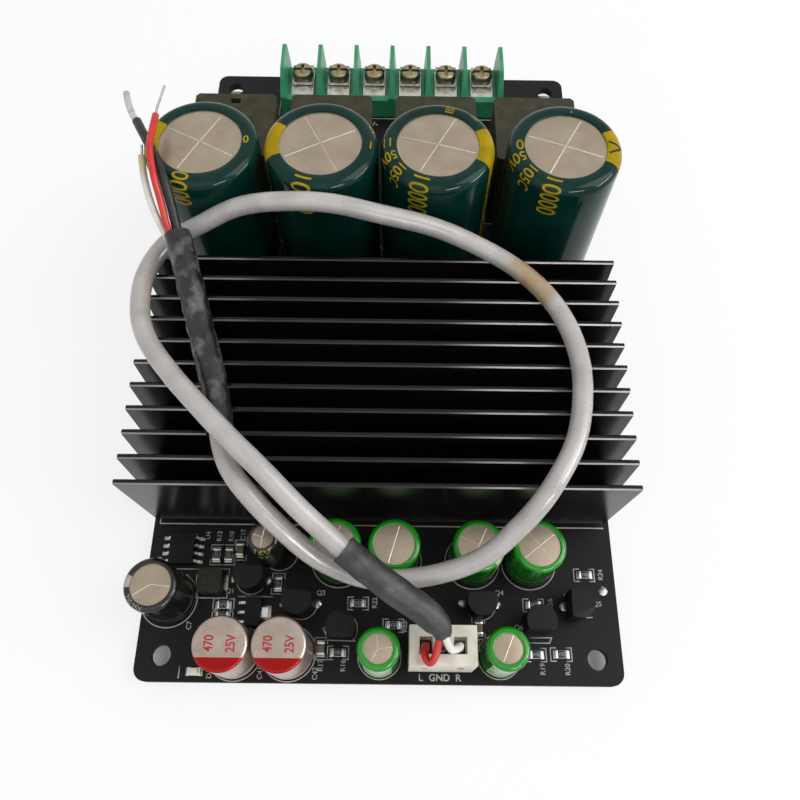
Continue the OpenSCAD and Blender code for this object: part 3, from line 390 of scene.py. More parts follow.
def piece(name, parts, materials, body="board", sharp=38):
    """One mesh piece. Each part is (points, faces, material number or one number per face)."""
    points, faces, index = [], [], []
    for part_points, part_faces, number in parts:
        first = len(points)
        points += [[c * MM for c in p] for p in part_points]
        faces += [[first + i for i in face] for face in part_faces]
        index += number if isinstance(number, list) else [number] * len(part_faces)
    mesh = bpy.data.meshes.new(name)
    mesh.from_pydata(points, [], faces)
    mesh.update()
    for material in materials:
        mesh.materials.append(material)
    mesh.polygons.foreach_set("material_index", index)
    mesh.shade_smooth()
    mesh.set_sharp_from_angle(angle=math.radians(sharp))
    obj = bpy.data.objects.new(name, mesh)
    scene.collection.objects.link(obj)
    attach(obj, body)
    return obj


def lathe(profile, at, seg, wobble=None):
    """Turned shape about Z through at; profile is (radius, height) from the bottom up."""
    points, faces, rows = [], [], []
    for r, z in profile:
        first = len(points)
        if r < 1e-6:
            rows.append([first] * seg)
            points.append((at[0], at[1], at[2] + z))
            continue
        rows.append(list(range(first, first + seg)))
        for k in range(seg):
            a = TAU * k / seg
            out = r + (wobble(a, z) if wobble else 0)
            points.append((at[0] + out * math.cos(a), at[1] + out * math.sin(a), at[2] + z))
    for low, high in zip(rows, rows[1:]):
        for k in range(seg):
            n = (k + 1) % seg
            corners = [low[k], low[n], high[n], high[k]]
            faces.append([c for i, c in enumerate(corners) if c not in corners[:i]])
    return points, faces


def curve(points, steps):
    """A smooth path through points, with that many steps between neighbours."""
    p = [Vector(q) for q in points]
    path = []
    for i in range(len(p) - 1):
        a, b, c, d = p[max(i - 1, 0)], p[i], p[i + 1], p[min(i + 2, len(p) - 1)]
        for j in range(steps):
            t = j / steps
            path.append((2 * b + (c - a) * t + (2 * a - 5 * b + 4 * c - d) * t ** 2
                         + (3 * b - a - 3 * c + d) * t ** 3) / 2)
    return path + [p[-1]]


def tube(path, radius, sides):
    """Tube along a path; radius is a length, or a function of distance along and angle."""
    points, faces, along = [], [], 0.0
    side = None
    for i, p in enumerate(path):
        ahead = (path[min(i + 1, len(path) - 1)] - path[max(i - 1, 0)]).normalized()
        side = side or Vector((0.3, 0.2, 1))
        side = (side - ahead * side.dot(ahead)).normalized()
        other = ahead.cross(side)
        along += (p - path[i - 1]).length if i else 0
        for k in range(sides):
            a = TAU * k / sides
            r = radius(along, a) if callable(radius) else radius
            points.append(p + r * (math.cos(a) * side + math.sin(a) * other))
    for i in range(len(path) - 1):
        for k in range(sides):
            n = (k + 1) % sides
            faces.append([i * sides + k, i * sides + n, (i + 1) * sides + n, (i + 1) * sides + k])
    last = (len(path) - 1) * sides
    faces += [list(range(sides - 1, -1, -1)), [last + k for k in range(sides)]]
    return points, faces


def block(low, high, edge, turn=0.0, pivot=(0, 0)):
    """Box with rounded edges, turned by degrees about Z and moved to a pivot."""
    bm = bmesh.new()
    bmesh.ops.create_cube(bm, size=1)
    for v in bm.verts:
        v.co = Vector([low[i] + (v.co[i] + 0.5) * (high[i] - low[i]) for i in range(3)])
    bmesh.ops.bevel(bm, geom=bm.edges[:], offset=edge, segments=2, profile=0.5, affect="EDGES")
    bm.verts.index_update()
    place = Matrix.Translation((*pivot, 0)) @ Matrix.Rotation(math.radians(turn), 4, "Z")
    points = [tuple(place @ v.co) for v in bm.verts]
    faces = [[v.index for v in f.verts] for f in bm.faces]
    bm.free()
    return points, faces


def letters(words, size, bold=0):
    """Flat letters, middle on the origin, as (points, faces)."""
    data = bpy.data.curves.new("letters", "FONT")
    data.body, data.size, data.offset = words, size, bold
    data.align_x, data.align_y = "CENTER", "CENTER"
    obj = bpy.data.objects.new("letters", data)
    scene.collection.objects.link(obj)
    bpy.context.view_layer.update()
    mesh = bpy.data.meshes.new_from_object(obj.evaluated_get(bpy.context.evaluated_depsgraph_get()))
    points = [(v.co.x, v.co.y) for v in mesh.vertices]
    faces = [list(f.vertices) for f in mesh.polygons]
    bpy.data.objects.remove(obj)
    bpy.data.curves.remove(data)
    bpy.data.meshes.remove(mesh)
    return points, faces


def turned(points, degrees, at):
    c, s = math.cos(math.radians(degrees)), math.sin(math.radians(degrees))
    return [(at[0] + c * x - s * y, at[1] + s * x + c * y) for x, y in points]


def flat_print(words, size, turn, at, z, bold=0, squeeze=1):
    """Letters lying flat at a height, as a part of a piece."""
    flat, faces = letters(words, size, bold)
    flat = turned([(x * squeeze, y) for x, y in flat], turn, at)
    return [(x, y, z) for x, y in flat], faces, 0


def ribbon(line, width):
    """Flat strip of even width along a line of points."""
    points, faces = [], []
    p = [Vector(q) for q in line]
    for i, q in enumerate(p):
        ahead = (q - p[i - 1]).normalized() if i else (p[1] - q).normalized()
        after = (p[i + 1] - q).normalized() if i + 1 < len(p) else ahead
        square = Vector((-(ahead + after).y, (ahead + after).x)).normalized()
        out = square * (width / 2 / max(abs(square.dot(Vector((-ahead.y, ahead.x)))), 0.4))
        points += [tuple(q + out), tuple(q - out)]
        if i:
            faces.append([2 * i - 2, 2 * i - 1, 2 * i + 1, 2 * i])
    return points, faces


def arc_line(at, r, start, end):
    steps = max(4, int(abs(end - start) / 6))
    angles = [math.radians(start + (end - start) * i / steps) for i in range(steps + 1)]
    return [(at[0] + r * math.cos(a), at[1] + r * math.sin(a)) for a in angles]


def cut_fine(points, faces, pitch):
    """Flat shape cut along a square grid, so that it can be bent."""
    bm = bmesh.new()
    made = [bm.verts.new((x, y, 0)) for x, y in points]
    for f in faces:
        bm.faces.new([made[i] for i in f])
    for axis in (0, 1):
        values = [v.co[axis] for v in bm.verts]
        for n in range(math.ceil(min(values) / pitch), math.floor(max(values) / pitch) + 1):
            where, normal = Vector((0, 0, 0)), Vector((0, 0, 0))
            where[axis], normal[axis] = n * pitch, 1
            bmesh.ops.bisect_plane(bm, geom=bm.verts[:] + bm.edges[:] + bm.faces[:], plane_co=where,
                                   plane_no=normal, dist=1e-5)
    bm.verts.index_update()
    result = [(v.co.x, v.co.y) for v in bm.verts], [[v.index for v in f.verts] for f in bm.faces]
    bm.free()
    return result


# CAD nodes kept as they are

# Where faces take a second material: heights over the board and half widths of moulded bodies, in millimetres
FIN_TIP_Z = 22.2
AMPLIFIER_HALF = 3.06
PREAMP_HALF = 1.96
REGULATOR_HALF = 1.26
REGULATOR_TAB_Z = 0.41
INDUCTOR_FOOT_Z = 0.14
TRANSISTOR_LEAD_Z = 1.19


def round_edges(obj, width):
    """Fine rounded edges on a CAD node."""
    obj.data.shade_smooth()
    weld = obj.modifiers.new("weld", "WELD")
    weld.merge_threshold = 1e-6
    bevel = obj.modifiers.new("edge", "BEVEL")
    bevel.width = width * MM
    bevel.segments = 2
    bevel.limit_method = "ANGLE"
    bevel.angle_limit = math.radians(35)
    even = obj.modifiers.new("even", "WEIGHTED_NORMAL")
    even.keep_sharp = True


def dress(names, width, material, second=None, rule=None):
    """A material on CAD nodes, and a second one on the faces whose middle and normal meet a rule."""
    for name in names:
        obj = nodes[name]
        mesh = obj.data
        mesh.materials.clear()
        mesh.materials.append(material)
        if width:
            round_edges(obj, width)
        if second:
            mesh.materials.append(second)
            for face in mesh.polygons:
                face.material_index = int(rule(face.center / MM, face.normal))


def numbered(name, count):
    return [f"{name}_{i + 1}" for i in range(count)]


def dress_cad():
    dress(["pcb"], 0, MASK, LAMINATE, lambda p, n: abs(n.z) < 0.5)
    # The front top edges of the fins take the painted highlight.
    dress(["heatsink"], 0.06, ANODISED, FIN_TIP_PAINTED_HIGHLIGHT,
          lambda p, n: p.z > TOP + FIN_TIP_Z and n.y < -0.4 and n.z > 0.4)
    dress(["thermal_pad"], 0, PAD)
    dress(["amplifier_chip"], 0, EPOXY, TIN, lambda p, n: abs(p.x) > AMPLIFIER_HALF)
    dress(["preamp_chip"], 0, EPOXY, TIN, lambda p, n: abs(p.x - PREAMP_AT[0]) > PREAMP_HALF)
    dress(["heatsink_screws"], 0.08, STEEL)
    dress(numbered("output_inductor", 4), 0.08, FERRITE, TIN, lambda p, n: p.z < TOP - 0.01)
    dress(["terminal_block"], 0.14, BLOCK)
    dress(["terminal_contacts"], 0.06, CLAMP)
    dress(numbered("wire_clamp", 6), 0.1, CLAMP)
    dress(numbered("terminal_screw", 6), 0.08, BRASS)
    dress(["signal_header", "signal_plug"], 0.12, NYLON)
    dress(["header_pins", "plug_contacts"], 0.05, TIN)
    dress(["voltage_regulator"], 0.06, EPOXY, TIN,
          lambda p, n: p.z < TOP + REGULATOR_TAB_Z and abs(p.x - REGULATOR_AT[0]) > REGULATOR_HALF)
    dress(["power_inductor"], 0.15, COIL, TIN, lambda p, n: p.z < TOP + INDUCTOR_FOOT_Z)
    dress(["transistors"], 0.15, EPOXY, TIN, lambda p, n: p.z < TOP + TRANSISTOR_LEAD_Z)
    dress(["solder_joints"], 0, SOLDER)


# Cans

def pin(x, y, r):
    """Round lead, from its end below the board up into its can."""
    return lathe([(0, -TOP), (r - 0.08, -TOP), (r, -TOP + 0.1), (r, 0.1)], (x, y, TOP), 20)


class Can:
    """A sleeved can: the wall, shoulder and lip of its sleeve, and a pressed top disc."""

    def __init__(self, node, at, d, h, disc, shoulder=0.75, groove_z=1.8, leads=3.5, lead_d=0.6, lead_turn=0):
        self.node, self.at, self.r, self.h = node, (at[0], at[1], TOP), d / 2, h
        self.lip, self.shoulder, self.groove_z = disc / 2, shoulder, groove_z
        across, along = leads / 2 * math.cos(lead_turn), leads / 2 * math.sin(lead_turn)
        self.leads = [(s * across, s * along) for s in (-1, 1)]
        self.lead_r = lead_d / 2
        self.seed = at[0] * 0.37 + at[1]

    def uneven(self, a, z):
        """Slight dents of the sleeve, deeper at the shoulder."""
        top = max(0.0, (z - self.h + self.shoulder) / self.shoulder)
        rough = noise.noise(Vector((2.2 * math.cos(a), 2.2 * math.sin(a), self.seed + 0.4 * z)))
        return rough * (0.012 * self.r * top - 0.002 * self.r)

    def build(self, sleeve, stripe=None, scores=(), seg=96, rings=20, stripe_rows=None):
        r, h, b, g = self.r, self.h, self.shoulder, 0.035 * 2 * self.r
        z = self.groove_z
        groove = ((0, -1.3), (0.25, -0.75), (0.85, -0.2), (1, 0), (0.85, 0.2), (0.25, 0.75), (0, 1.3))
        wall = [(r - 0.45, 0.3), (r - 0.12, 0.5), (r, 0.75)]
        wall += [(r - inward * g, z + along * g) for inward, along in groove]
        for i in range(1, 5):
            wall.append((r, z + 1.3 * g + (h - b - z - 1.3 * g) * i / 5))
        for i in range(11):
            a = math.radians(9 * i)
            wall.append((r - b + b * math.cos(a), h - b + b * math.sin(a)))
        low = h - 0.3
        wall += [(self.lip + 0.1, h), (self.lip + 0.02, h - 0.05), (self.lip, h - 0.12),
                 (self.lip, low - 0.05)]
        points, faces = lathe(wall, self.at, seg, wobble=self.uneven)
        index = [0] * len(faces)
        if stripe:
            middle, half = stripe[:2]
            for i in range(len(faces)):
                row, k = divmod(i, seg)
                away = (math.degrees(TAU * (k + 0.5) / seg) - middle + 180) % 360 - 180
                if abs(away) < half and (stripe_rows is None or stripe_rows(row)):
                    index[i] = 1
        foot = lathe([(0, 0.02), (r - 0.55, 0.02), (r - 0.5, 0.12), (r - 0.5, 0.42)], self.at, seg)
        parts = [(points, faces, index), (*foot, 2)]
        for x, y in self.leads:
            parts.append((*pin(self.at[0] + x, self.at[1] + y, self.lead_r), 3))
        materials = [sleeve, stripe[2] if stripe else sleeve, RUBBER, TIN]
        body = piece(self.node + "_sleeve", parts, materials)
        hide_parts(self.node)
        self.top(scores, low, seg * 2, rings)

    def top(self, scores, low, seg, rings):
        """Pressed disc with V-shaped scores, each (angle, half width), running out from its middle."""
        reach, end = self.lip + 0.06, 0.93 * self.lip
        lines = sorted((a % 360, w) for a, w in scores)
        radii = [end * i / rings for i in range(1, rings + 1)] + [end + 0.05, reach]
        points, faces, index = [(0, 0, low + 0.1)], [], []
        for r in radii:
            scored = 1 if r <= end else 0
            height = low + 0.1 * (1 - (r / reach) ** 2)
            ring, marks = [], []
            for (a, w), (b, v) in zip(lines, lines[1:] + [(lines[0][0] + 360, lines[0][1])]):
                first, last = (math.asin(min(x / r, 0.5)) for x in (w, v))
                a, b = math.radians(a), math.radians(b)
                steps = max(3, round((b - a) / TAU * seg))
                ring.append((a, height - 0.4 * w * scored))
                ring += [(a + first + (b - last - a - first) * i / steps, height) for i in range(steps + 1)]
                marks += [1] + [0] * steps + [1]
            points += [(r * math.cos(a), r * math.sin(a), z) for a, z in ring]
            count, start = len(ring), len(points) - len(ring)
            for k in range(count):
                n = (k + 1) % count
                below = [0] if start == 1 else [start - count + n, start - count + k]
                faces.append([start + k, start + n] + below)
                index.append(marks[k] * scored)
        solid = [(self.at[0] + x, self.at[1] + y, self.at[2] + z) for x, y, z in points]
        piece(self.node + "_disc", [(solid, faces, index)], [DISC, SCORE], sharp=20)

    def skin(self, angle, down, lift=0.03):
        """Point on the sleeve, that far from the lip along its outline."""
        flat = self.r - self.shoulder - self.lip
        bend = math.pi / 2 * self.shoulder
        if down < flat:
            r, z = self.lip + down, self.h + lift
        elif down < flat + bend:
            a = math.pi / 2 - (down - flat) / self.shoulder
            r = self.r - self.shoulder + (self.shoulder + lift) * math.cos(a)
            z = self.h - self.shoulder + (self.shoulder + lift) * math.sin(a)
        else:
            r, z = self.r + lift, self.h - self.shoulder - (down - flat - bend)
        r += self.uneven(angle, min(z, self.h))
        return self.at[0] + r * math.cos(angle), self.at[1] + r * math.sin(angle), self.at[2] + z

    def print_on(self, shapes, angle):
        """Flat shapes (across, down) wrapped round the sleeve at an angle, as points and faces."""
        points, faces = [], []
        for flat_points, flat_faces in shapes:
            fine_points, fine_faces = cut_fine(flat_points, flat_faces, 0.45)
            first = len(points)
            points += [self.skin(math.radians(angle) + x / self.r, y) for x, y in fine_points]
            faces += [[first + i for i in f] for f in fine_faces]
        return points, faces

    def words(self, text, size, angle, start, bold=0, squeeze=0.72):
        """Letters running down the sleeve from a distance below the lip."""
        flat, faces = letters(text, size, bold)
        span = squeeze * max(x for x, y in flat)
        return self.print_on([([(y, start + span + squeeze * x) for x, y in flat], faces)], angle)

    def round_words(self, text, size, angle, down, bold=0):
        """Letters running round the sleeve, their tops toward the lip."""
        flat, faces = letters(text, size, bold)
        return self.print_on([([(x, down - y) for x, y in flat], faces)], angle)


# The filter cans: a score is (angle, half width), a column of print is (text, size, angle, start)
FILTER_X = (-29, -10.2, 8.2, 28.2)
FILTER_Y = 13.4
STRIPE_TOWARD = (175, 175, -2, -2)
STRIPE_HALF_ANGLE = 25
STRIPE_MARKS_DOWN = (0.25, 11.2, 21.5)
SCORES = (((62, 0.1), (152, 0.07), (242, 0.1), (332, 0.07)),
          ((27, 0.1), (117, 0.06), (207, 0.1), (297, 0.04)),
          ((62, 0.07), (165, 0.05), (242, 0.06), (345, 0.1)),
          ((62, 0.1), (160, 0.1), (242, 0.1), (340, 0.11)))
COLUMNS = ((("0000", 4.6, 252, 0.1), ("0", 2.6, 2, 0.25)),
           (("10000", 4.6, 251, 0.2), ("50V", 2.2, 20, 1.7), ("1", 2.2, -4, 1.3), ("-", 2.4, 58, 1.5)),
           (("10000", 4.6, 248, 0.1), ("11", 2.8, 178, 0.9), ("50V", 2.9, 198, 0.25),
            ("105C", 2.9, 219, 0.25), ("III", 2.6, 74, 0.2), ("1", 2.4, 42, 1.3)),
           (("10000", 4.4, 250, 0.1), ("0", 3.4, 179, 0.2), ("50V", 3, 197, 0.25), ("105C", 3, 220, 0.25),
            ("-", 2.2, 80, 0.4)))


def make_filter_cans():
    for i, (x, toward) in enumerate(zip(FILTER_X, STRIPE_TOWARD)):
        can = Can(f"filter_capacitor_{i + 1}", (x, FILTER_Y), d=18, h=33, disc=12.96, shoulder=1.6,
                  groove_z=4, leads=7.5, lead_d=0.9)
        can.build(TEAL, (toward, STRIPE_HALF_ANGLE, GOLD), SCORES[i], 120, 16)
        marks = []
        for n, down in enumerate(STRIPE_MARKS_DOWN):
            if n or i == 3:
                marks += [ribbon([(side * 1.5, down), (0, down + 2)], 0.42) for side in (-1, 1)]
            if n:
                marks.append(ribbon([(-0.9, down + 5.2), (0.9, down + 5.2)], 0.6))
        parts = [(*can.print_on(marks, toward), 0)]
        piece(f"filter_{i + 1}_stripe_marks", parts, [DARKINK])
        parts = [(*can.words(text, size, angle, start, 0.03), 0) for text, size, angle, start in COLUMNS[i]]
        piece(f"filter_{i + 1}_print", parts, [GOLD])


def crossed(*angles, half=0.05):
    return [(a, half) for a in angles]


def make_small_cans():
    cuts = (crossed(75, 255), crossed(74, 254, half=0.07), crossed(65, 155, 245, 335, half=0.035),
            crossed(38, 128, 218, 308, half=0.045))
    for i, x in enumerate(COUPLING_X):
        can = Can(f"coupling_capacitor_{i + 1}", (x, FRONT + COUPLING_Y), d=8, h=11.5, disc=6.24)
        stripe = (330, 20, PALE_GREEN_INK_AND_SHEEN) if i == 2 else None
        can.build(GREEN, stripe, cuts[i])
    cuts = crossed(5, 100, 240, half=0.03), crossed(66, 246, half=0.06)
    for i, (x, y) in enumerate(BYPASS_AT):
        can = Can(f"bypass_capacitor_{i + 1}", (x, FRONT + y), d=6.3, h=11, disc=4.284, leads=2.5,
                  lead_turn=math.pi / 2)
        # On the bypass cans the pale band down the front wall is partly a polarity stripe and partly painted
        # reflection.
        can.build(GREEN, (266, 42, PALE_GREEN_INK_AND_SHEEN), cuts[i], stripe_rows=lambda row: row < 14)
    can = Can("supply_capacitor", (-33.5, FRONT + 12.5), d=8, h=12, disc=6.08)
    can.build(BLACKSLEEVE, (172, 14, GREYINK), crossed(355, 213, half=0.06))
    figures = (("220", 218, 0.55), ("25V", 246, 0.7), ("25V", 252, 3.6), ("105C", 220, 4.8))
    parts = [(*can.round_words(text, 1.15, angle, down), 0) for text, angle, down in figures]
    piece("supply_print", parts, [GREYINK])
    can = Can("timing_capacitor", (-17.9, FRONT + 20), d=5, h=11, disc=3.9, leads=2)
    can.build(OLIVESLEEVE, None, crossed(80, 165, 262, half=0.06))
    figures = (("16V", 0.95), ("47", 3.4))
    parts = [(*can.round_words(text, 1.9, 270, down, 0.04), 0) for text, down in figures]
    piece("timing_print", parts, [LIMEINK])
    for i, x in enumerate(POLYMER_X):
        make_polymer(f"polymer_capacitor_{i + 1}", (x, FRONT + POLYMER_Y))


def make_polymer(node, at):
    """Bare can with a tight top edge, a bead over its base and red printed figures."""
    r, h, edge, lead_pitch, lead_r = 4, POLYMER_H, 0.45, 3.5, 0.3
    wall = [(0, 0.02), (r - 0.5, 0.02), (r - 0.5, 0.35), (r - 0.08, 0.62), (r, 0.8), (r, 1.3),
            (r - 0.1, 1.45), (r - 0.28, 1.62), (r - 0.3, 1.9), (r - 0.2, 2.1), (r - 0.03, 2.2), (r, 2.3),
            (r, 5), (r, 8), (r, h - edge)]
    for i in range(1, 9):
        a = math.radians(11.25 * i)
        wall.append((r - edge + edge * math.cos(a), h - edge + edge * math.sin(a)))
    wall += [(3.3, h), (3.05, h - 0.02), (2.6, h), (1.3, h), (0, h)]
    parts = [(*lathe(wall, (*at, TOP), 96), 0)]
    for s in (-1, 1):
        parts.append((*pin(at[0], at[1] + s * lead_pitch / 2, lead_r), 1))
    body = piece(node + "_can", parts, [POLYMER, TIN])
    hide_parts(node)
    figures = [flat_print(words, 1.85, 90, (at[0] + x, at[1]), TOP + h + PRINT_LIFT, bold=0.045, squeeze=0.82)
               for words, x in (("470", -1.5), ("25V", 1.65))]
    piece(node + "_figures", figures, [REDINK])


# Chip parts

# Places of the chip parts, counted from the front edge, with their turns, and their heights
RESISTORS = ((-27, 19.7, 90), (-25, 19.7, 90), (-25.1, 11.6, 0), (-25.1, 9.9, 0), (-16.6, 15.1, 90),
             (-3.6, 12.1, 0), (2.1, 8.7, 0), (-6.5, 4.5, 0), (33.1, 17, 0), (24.5, 12.1, 0), (24.4, 4.5, 0),
             (28.4, 4.6, 0))
CHIP_CAPS = ((-23.2, 20.5, 90), (-9.2, 5.1, 90), (15.6, 8.4, 90))
STATUS_LED = (-28.5, 1.5, 0)
RESISTOR_H = 0.55
CHIP_CAP_H = 0.85
LED_BASE_H = 0.5


def chip_parts(x, y, turn, h, lid=False):
    """Body, optional lid and wrapped metal ends of one chip part, with its solder fillets."""
    def part(ends, half_width, low, high, edge, number):
        corners = [(end, s * half_width, TOP + z) for end, s, z in zip(sorted(ends), (-1, 1), (low, high))]
        return (*block(*corners, edge, turn, (x, FRONT + y)), number)

    parts = [part((-0.95, 0.95), 0.58, 0.03, h - 0.05, 0.03, 0)]
    if lid:
        parts.append(part((-0.6, 0.6), 0.55, h - 0.06, h, 0.02, 1))
    for s in (-1, 1):
        parts.append(part((s * 0.6, s * 1.0), 0.62, 0.01, h, 0.06, 2))
        parts.append(part((s * 0.75, s * 1.3), 0.66, 0, 0.16, 0.07, 3))
    return parts


def make_chips():
    parts = [p for place in RESISTORS for p in chip_parts(*place, RESISTOR_H, lid=True)]
    resistors = piece("resistor_chips", parts, [ALUMINA, FILM, TIN, SOLDER])
    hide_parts("chip_resistors")
    values = ("103", "222", "470", "102")
    figures = [flat_print(values[i % 4], 0.72, turn, (x, FRONT + y), TOP + RESISTOR_H + PRINT_LIFT)
               for i, (x, y, turn) in enumerate(RESISTORS)]
    piece("resistor_figures", figures, [INK])
    parts = [p for place in CHIP_CAPS for p in chip_parts(*place, CHIP_CAP_H)]
    capacitors = piece("ceramic_chips", parts, [CERAMIC, FILM, TIN, SOLDER])
    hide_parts("chip_capacitors")
    x, y, turn = STATUS_LED
    parts = chip_parts(*STATUS_LED, LED_BASE_H)
    lens = block((-0.58, -0.53, TOP + 0.3), (0.58, 0.53, TOP + 0.8), 0.16, turn, (x, FRONT + y))
    parts.append((*lens, 1))
    light = piece("status_light", parts, [ALUMINA, LENS, TIN, SOLDER])
    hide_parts("status_led")


# Markings and pads on the board

# Pitches, ink and soldered leads, in millimetres; places count from the front edge
TERMINAL_X = 0.4
TERMINAL_PITCH = 7.62
INK_TOP = 0.02
INK_THICK = 0.018
SOIC_PITCH = 1.27
SOLDERED_LEADS = ((-23.9, 15.9), (-15.5, 11.9), (13.2, 12.4), (29.4, 12), (-18.4, 15.6), (-10.2, 12),
                  (18.5, 12.2), (-8.4, 8.1), (35.9, 14.5))


def bracket(x, y, turn):
    """Outline of a chip part: two facing square brackets."""
    end, inner, side = 1.65, 0.726, 1
    shapes = []
    for s in (-1, 1):
        line = [(s * inner, -side), (s * end, -side), (s * end, side), (s * inner, side)]
        shapes.append(ribbon(turned(line, turn, (x, y)), 0.17))
    return shapes


def make_silkscreen():
    shapes = []

    def line(*points, width=0.18):
        shapes.append(ribbon(points, width))

    def arc(at, r, start=0, end=360):
        shapes.append(ribbon(arc_line(at, r, start, end), 0.18))

    def words(text, at, turn=90, size=1.1, bold=0.02):
        flat, faces = letters(text, size, bold)
        shapes.append((turned(flat, turn, at), faces))

    # Outlines round the small parts in front of the heatsink
    line((-37.05, 25.7), (-37.05, 24.85), (37.05, 24.87), width=0.2)
    for x, y, turn in RESISTORS + CHIP_CAPS:
        shapes.extend(bracket(x, y, turn))
    for x in POLYMER_X:
        arc((x, POLYMER_Y), 4.25)
    arc((-33.9, 12.5), 4.5, -150, 60)
    for x in COUPLING_X:
        arc((x, COUPLING_Y), 4.45)
    for at in BYPASS_AT:
        arc(at, 3.38)
    arc((-16.6, 20), 2.8)
    arc((-21, 15.75), 2.4, 200, 340)
    arc((-12.6, 12), 2.5, 200, 345)
    line((-8.6, 6.4), (-3.8, 6.3))
    arc((-6.15, 8.1), 2.55, -40, 220)
    arc((16.05, 12.1), 2.4, 200, 340)
    line((29.4, 12.2), (30.2, 10.3), (33.9, 10.3))
    arc((31.2, 11.7), 2.6, 20, 130)
    line((23.5, 6.3), (26.7, 6.3), (27.1, 7.1), (23.6, 7.1))
    line((27.7, 10), (27.9, 8.7))
    line((-29.7, 13.8), (-29.7, 12.7), (-24.7, 12.7), (-24.7, 13.8))
    line((-29.7, 16.4), (-29.7, 17.4), (-24.7, 17.4), (-24.7, 16.4))
    line((-35.3, 17.3), (-29.7, 17.3))
    line((-34.4, 23), (-30.6, 23))
    line((-22.9, 7.8), (-17.3, 7.8))
    line((-22.9, 13), (-17.3, 13))
    line((-30.9, 0.5), (-30.9, 2.3))

    # Designators, upright and lying, and the names of the connections
    for text, at in (("R12", (-26.9, 22.8)), ("R10", (-24.9, 22.8)), ("C17", (-23, 23.1)),
                     ("U4", (-28.8, 22.9)), ("R24", (35.8, 17.1)), ("R22", (-0.9, 12.2)),
                     ("R19", (25.4, 2.4)), ("R20", (29.3, 2.4)), ("R17", (-9.1, 2.6)), ("R16", (-5.6, 2.6)),
                     ("C42", (-9.9, 1.4)), ("C41", (-18.4, 1.4)), ("D1", (-26.2, 1.2)), ("C7", (-30.2, 8.4)),
                     ("R26", (27.3, 12.3)), ("C9", (-36.2, 18.6)), ("R23", (3.9, 8.6)), ("C43", (15.4, 5.7))):
        words(text, at)
    for text, at in (("Q1", (-24.3, 13.9)), ("Q2", (-9.6, 13.7)), ("Q4", (19.1, 14)), ("Q5", (34.8, 12.4)),
                     ("Q6", (22, 8.6)), ("J1", (2, 5.9)), ("L4", (-31.3, 14.6))):
        words(text, at, 0)
    for text, x in (("L", 6.4), ("GND", 9.3), ("R", 12.2)):
        words(text, (x, 0.95), 0, 1.45, 0.03)
    for i, text in enumerate(("L+", "L-", "V-", "V+", "R-", "R+")):
        words(text, (TERMINAL_X + (i - 2.5) * TERMINAL_PITCH, 113.6), 0, 1.8, 0.03)

    # Outlines of the rows behind the heatsink
    line((-34.9, 57.5), (34.9, 57.5), width=0.2)
    line((-24, 115.2), (-24, 127), (24.8, 127), (24.8, 115.2), (-24, 115.2))
    for x in (-28.5, -9.5, 9.5, 28.5):
        arc((x, 77), 9.35)
    for x in (-28.6, -10.6, 8.8, 27.3):
        line((x - 7.8, 87.5), (x + 7.8, 87.5), (x + 7.8, 103.1), (x - 7.8, 103.1), (x - 7.8, 87.5))

    parts = [([(x, FRONT + y, TOP + INK_TOP) for x, y in points], faces, 0) for points, faces in shapes]
    ink = piece("silkscreen", parts, [INK])
    thick = ink.modifiers.new("thick", "SOLIDIFY")
    thick.thickness = INK_THICK * MM
    thick.offset = -1


def make_pads():
    """Soldered pads that show round the small parts."""
    dome = [(0.75, 0), (0.74, 0.05), (0.6, 0.16), (0.36, 0.26), (0, 0.3)]
    parts = [(*lathe(dome, (x, FRONT + y, TOP), 28), 0) for x, y in SOLDERED_LEADS]

    def pad(x, y, ends, half_width, h, edge):
        low, high = (ends[0], -half_width, TOP), (ends[1], half_width, TOP + h)
        parts.append((*block(low, high, edge, 0, (x, FRONT + y)), 0))

    for s in (-1, 1):
        for i in range(4):
            pad(PREAMP_AT[0] + s * 2.85, PREAMP_AT[1] + (i - 1.5) * SOIC_PITCH, (-0.5, 0.5), 0.3, 0.09, 0.04)
    for i in (-1, 0, 1):
        pad(REGULATOR_AT[0] - 2, REGULATOR_AT[1] + i * 1.5, (-0.6, 0.5), 0.24, 0.12, 0.05)
    pad(REGULATOR_AT[0] + 1.9, REGULATOR_AT[1], (-0.6, 0.85), 1.1, 0.12, 0.05)
    for s in (-1, 1):
        pad(POWER_INDUCTOR_AT[0] + s * 2.2, POWER_INDUCTOR_AT[1], (-0.45, 0.45), 1.2, 0.12, 0.05)
    piece("solder_pads", parts, [SOLDER])


# The signal lead

# Routes listed point by point, from the middle of the plug's top
PLUG_SLEEVE = ((-0.3, 0.7, 4.2), (-0.7, 1.8, 4.9), (-1.7, 2.8, 5.7), (-3.3, 3.9, 6.7), (-5.4, 5.1, 7.9),
               (-8.2, 6.8, 9.5), (-11.2, 8.8, 10.9), (-14.2, 11, 12))
CABLE = ((-12.5, 9.7, 11.4), (-15, 11.6, 12.4), (-20, 15.5, 15.2), (-25, 20, 17.7), (-30, 24.5, 19.2),
         (-34.5, 29, 19.7), (-39, 34, 18.7), (-43.5, 40, 17.2), (-46, 46, 15.7), (-46.5, 53, 14.7),
         (-44, 59, 14.7), (-38.5, 61.5, 16.5), (-32, 62.5, 19.7), (-25, 62, 21.7), (-17.5, 61.5, 22),
         (-10, 61, 20.2), (-2.5, 60.5, 18.2), (4, 59, 16.2), (11, 55.5, 14.7), (16, 50, 14.7),
         (19, 43.5, 14.7), (20, 36, 14.7), (18.5, 27, 14.7), (14.5, 19.5, 14.7), (10.5, 15, 11.2),
         (5, 11, 7.2), (-2.5, 9, 4.5), (-10.5, 8.5, 4.5), (-17.5, 10.5, 6.8), (-23, 14, 11.2),
         (-27.5, 18, 14.7), (-30.5, 22, 14.7), (-32, 26.5, 15.2), (-32, 29, 15.2))
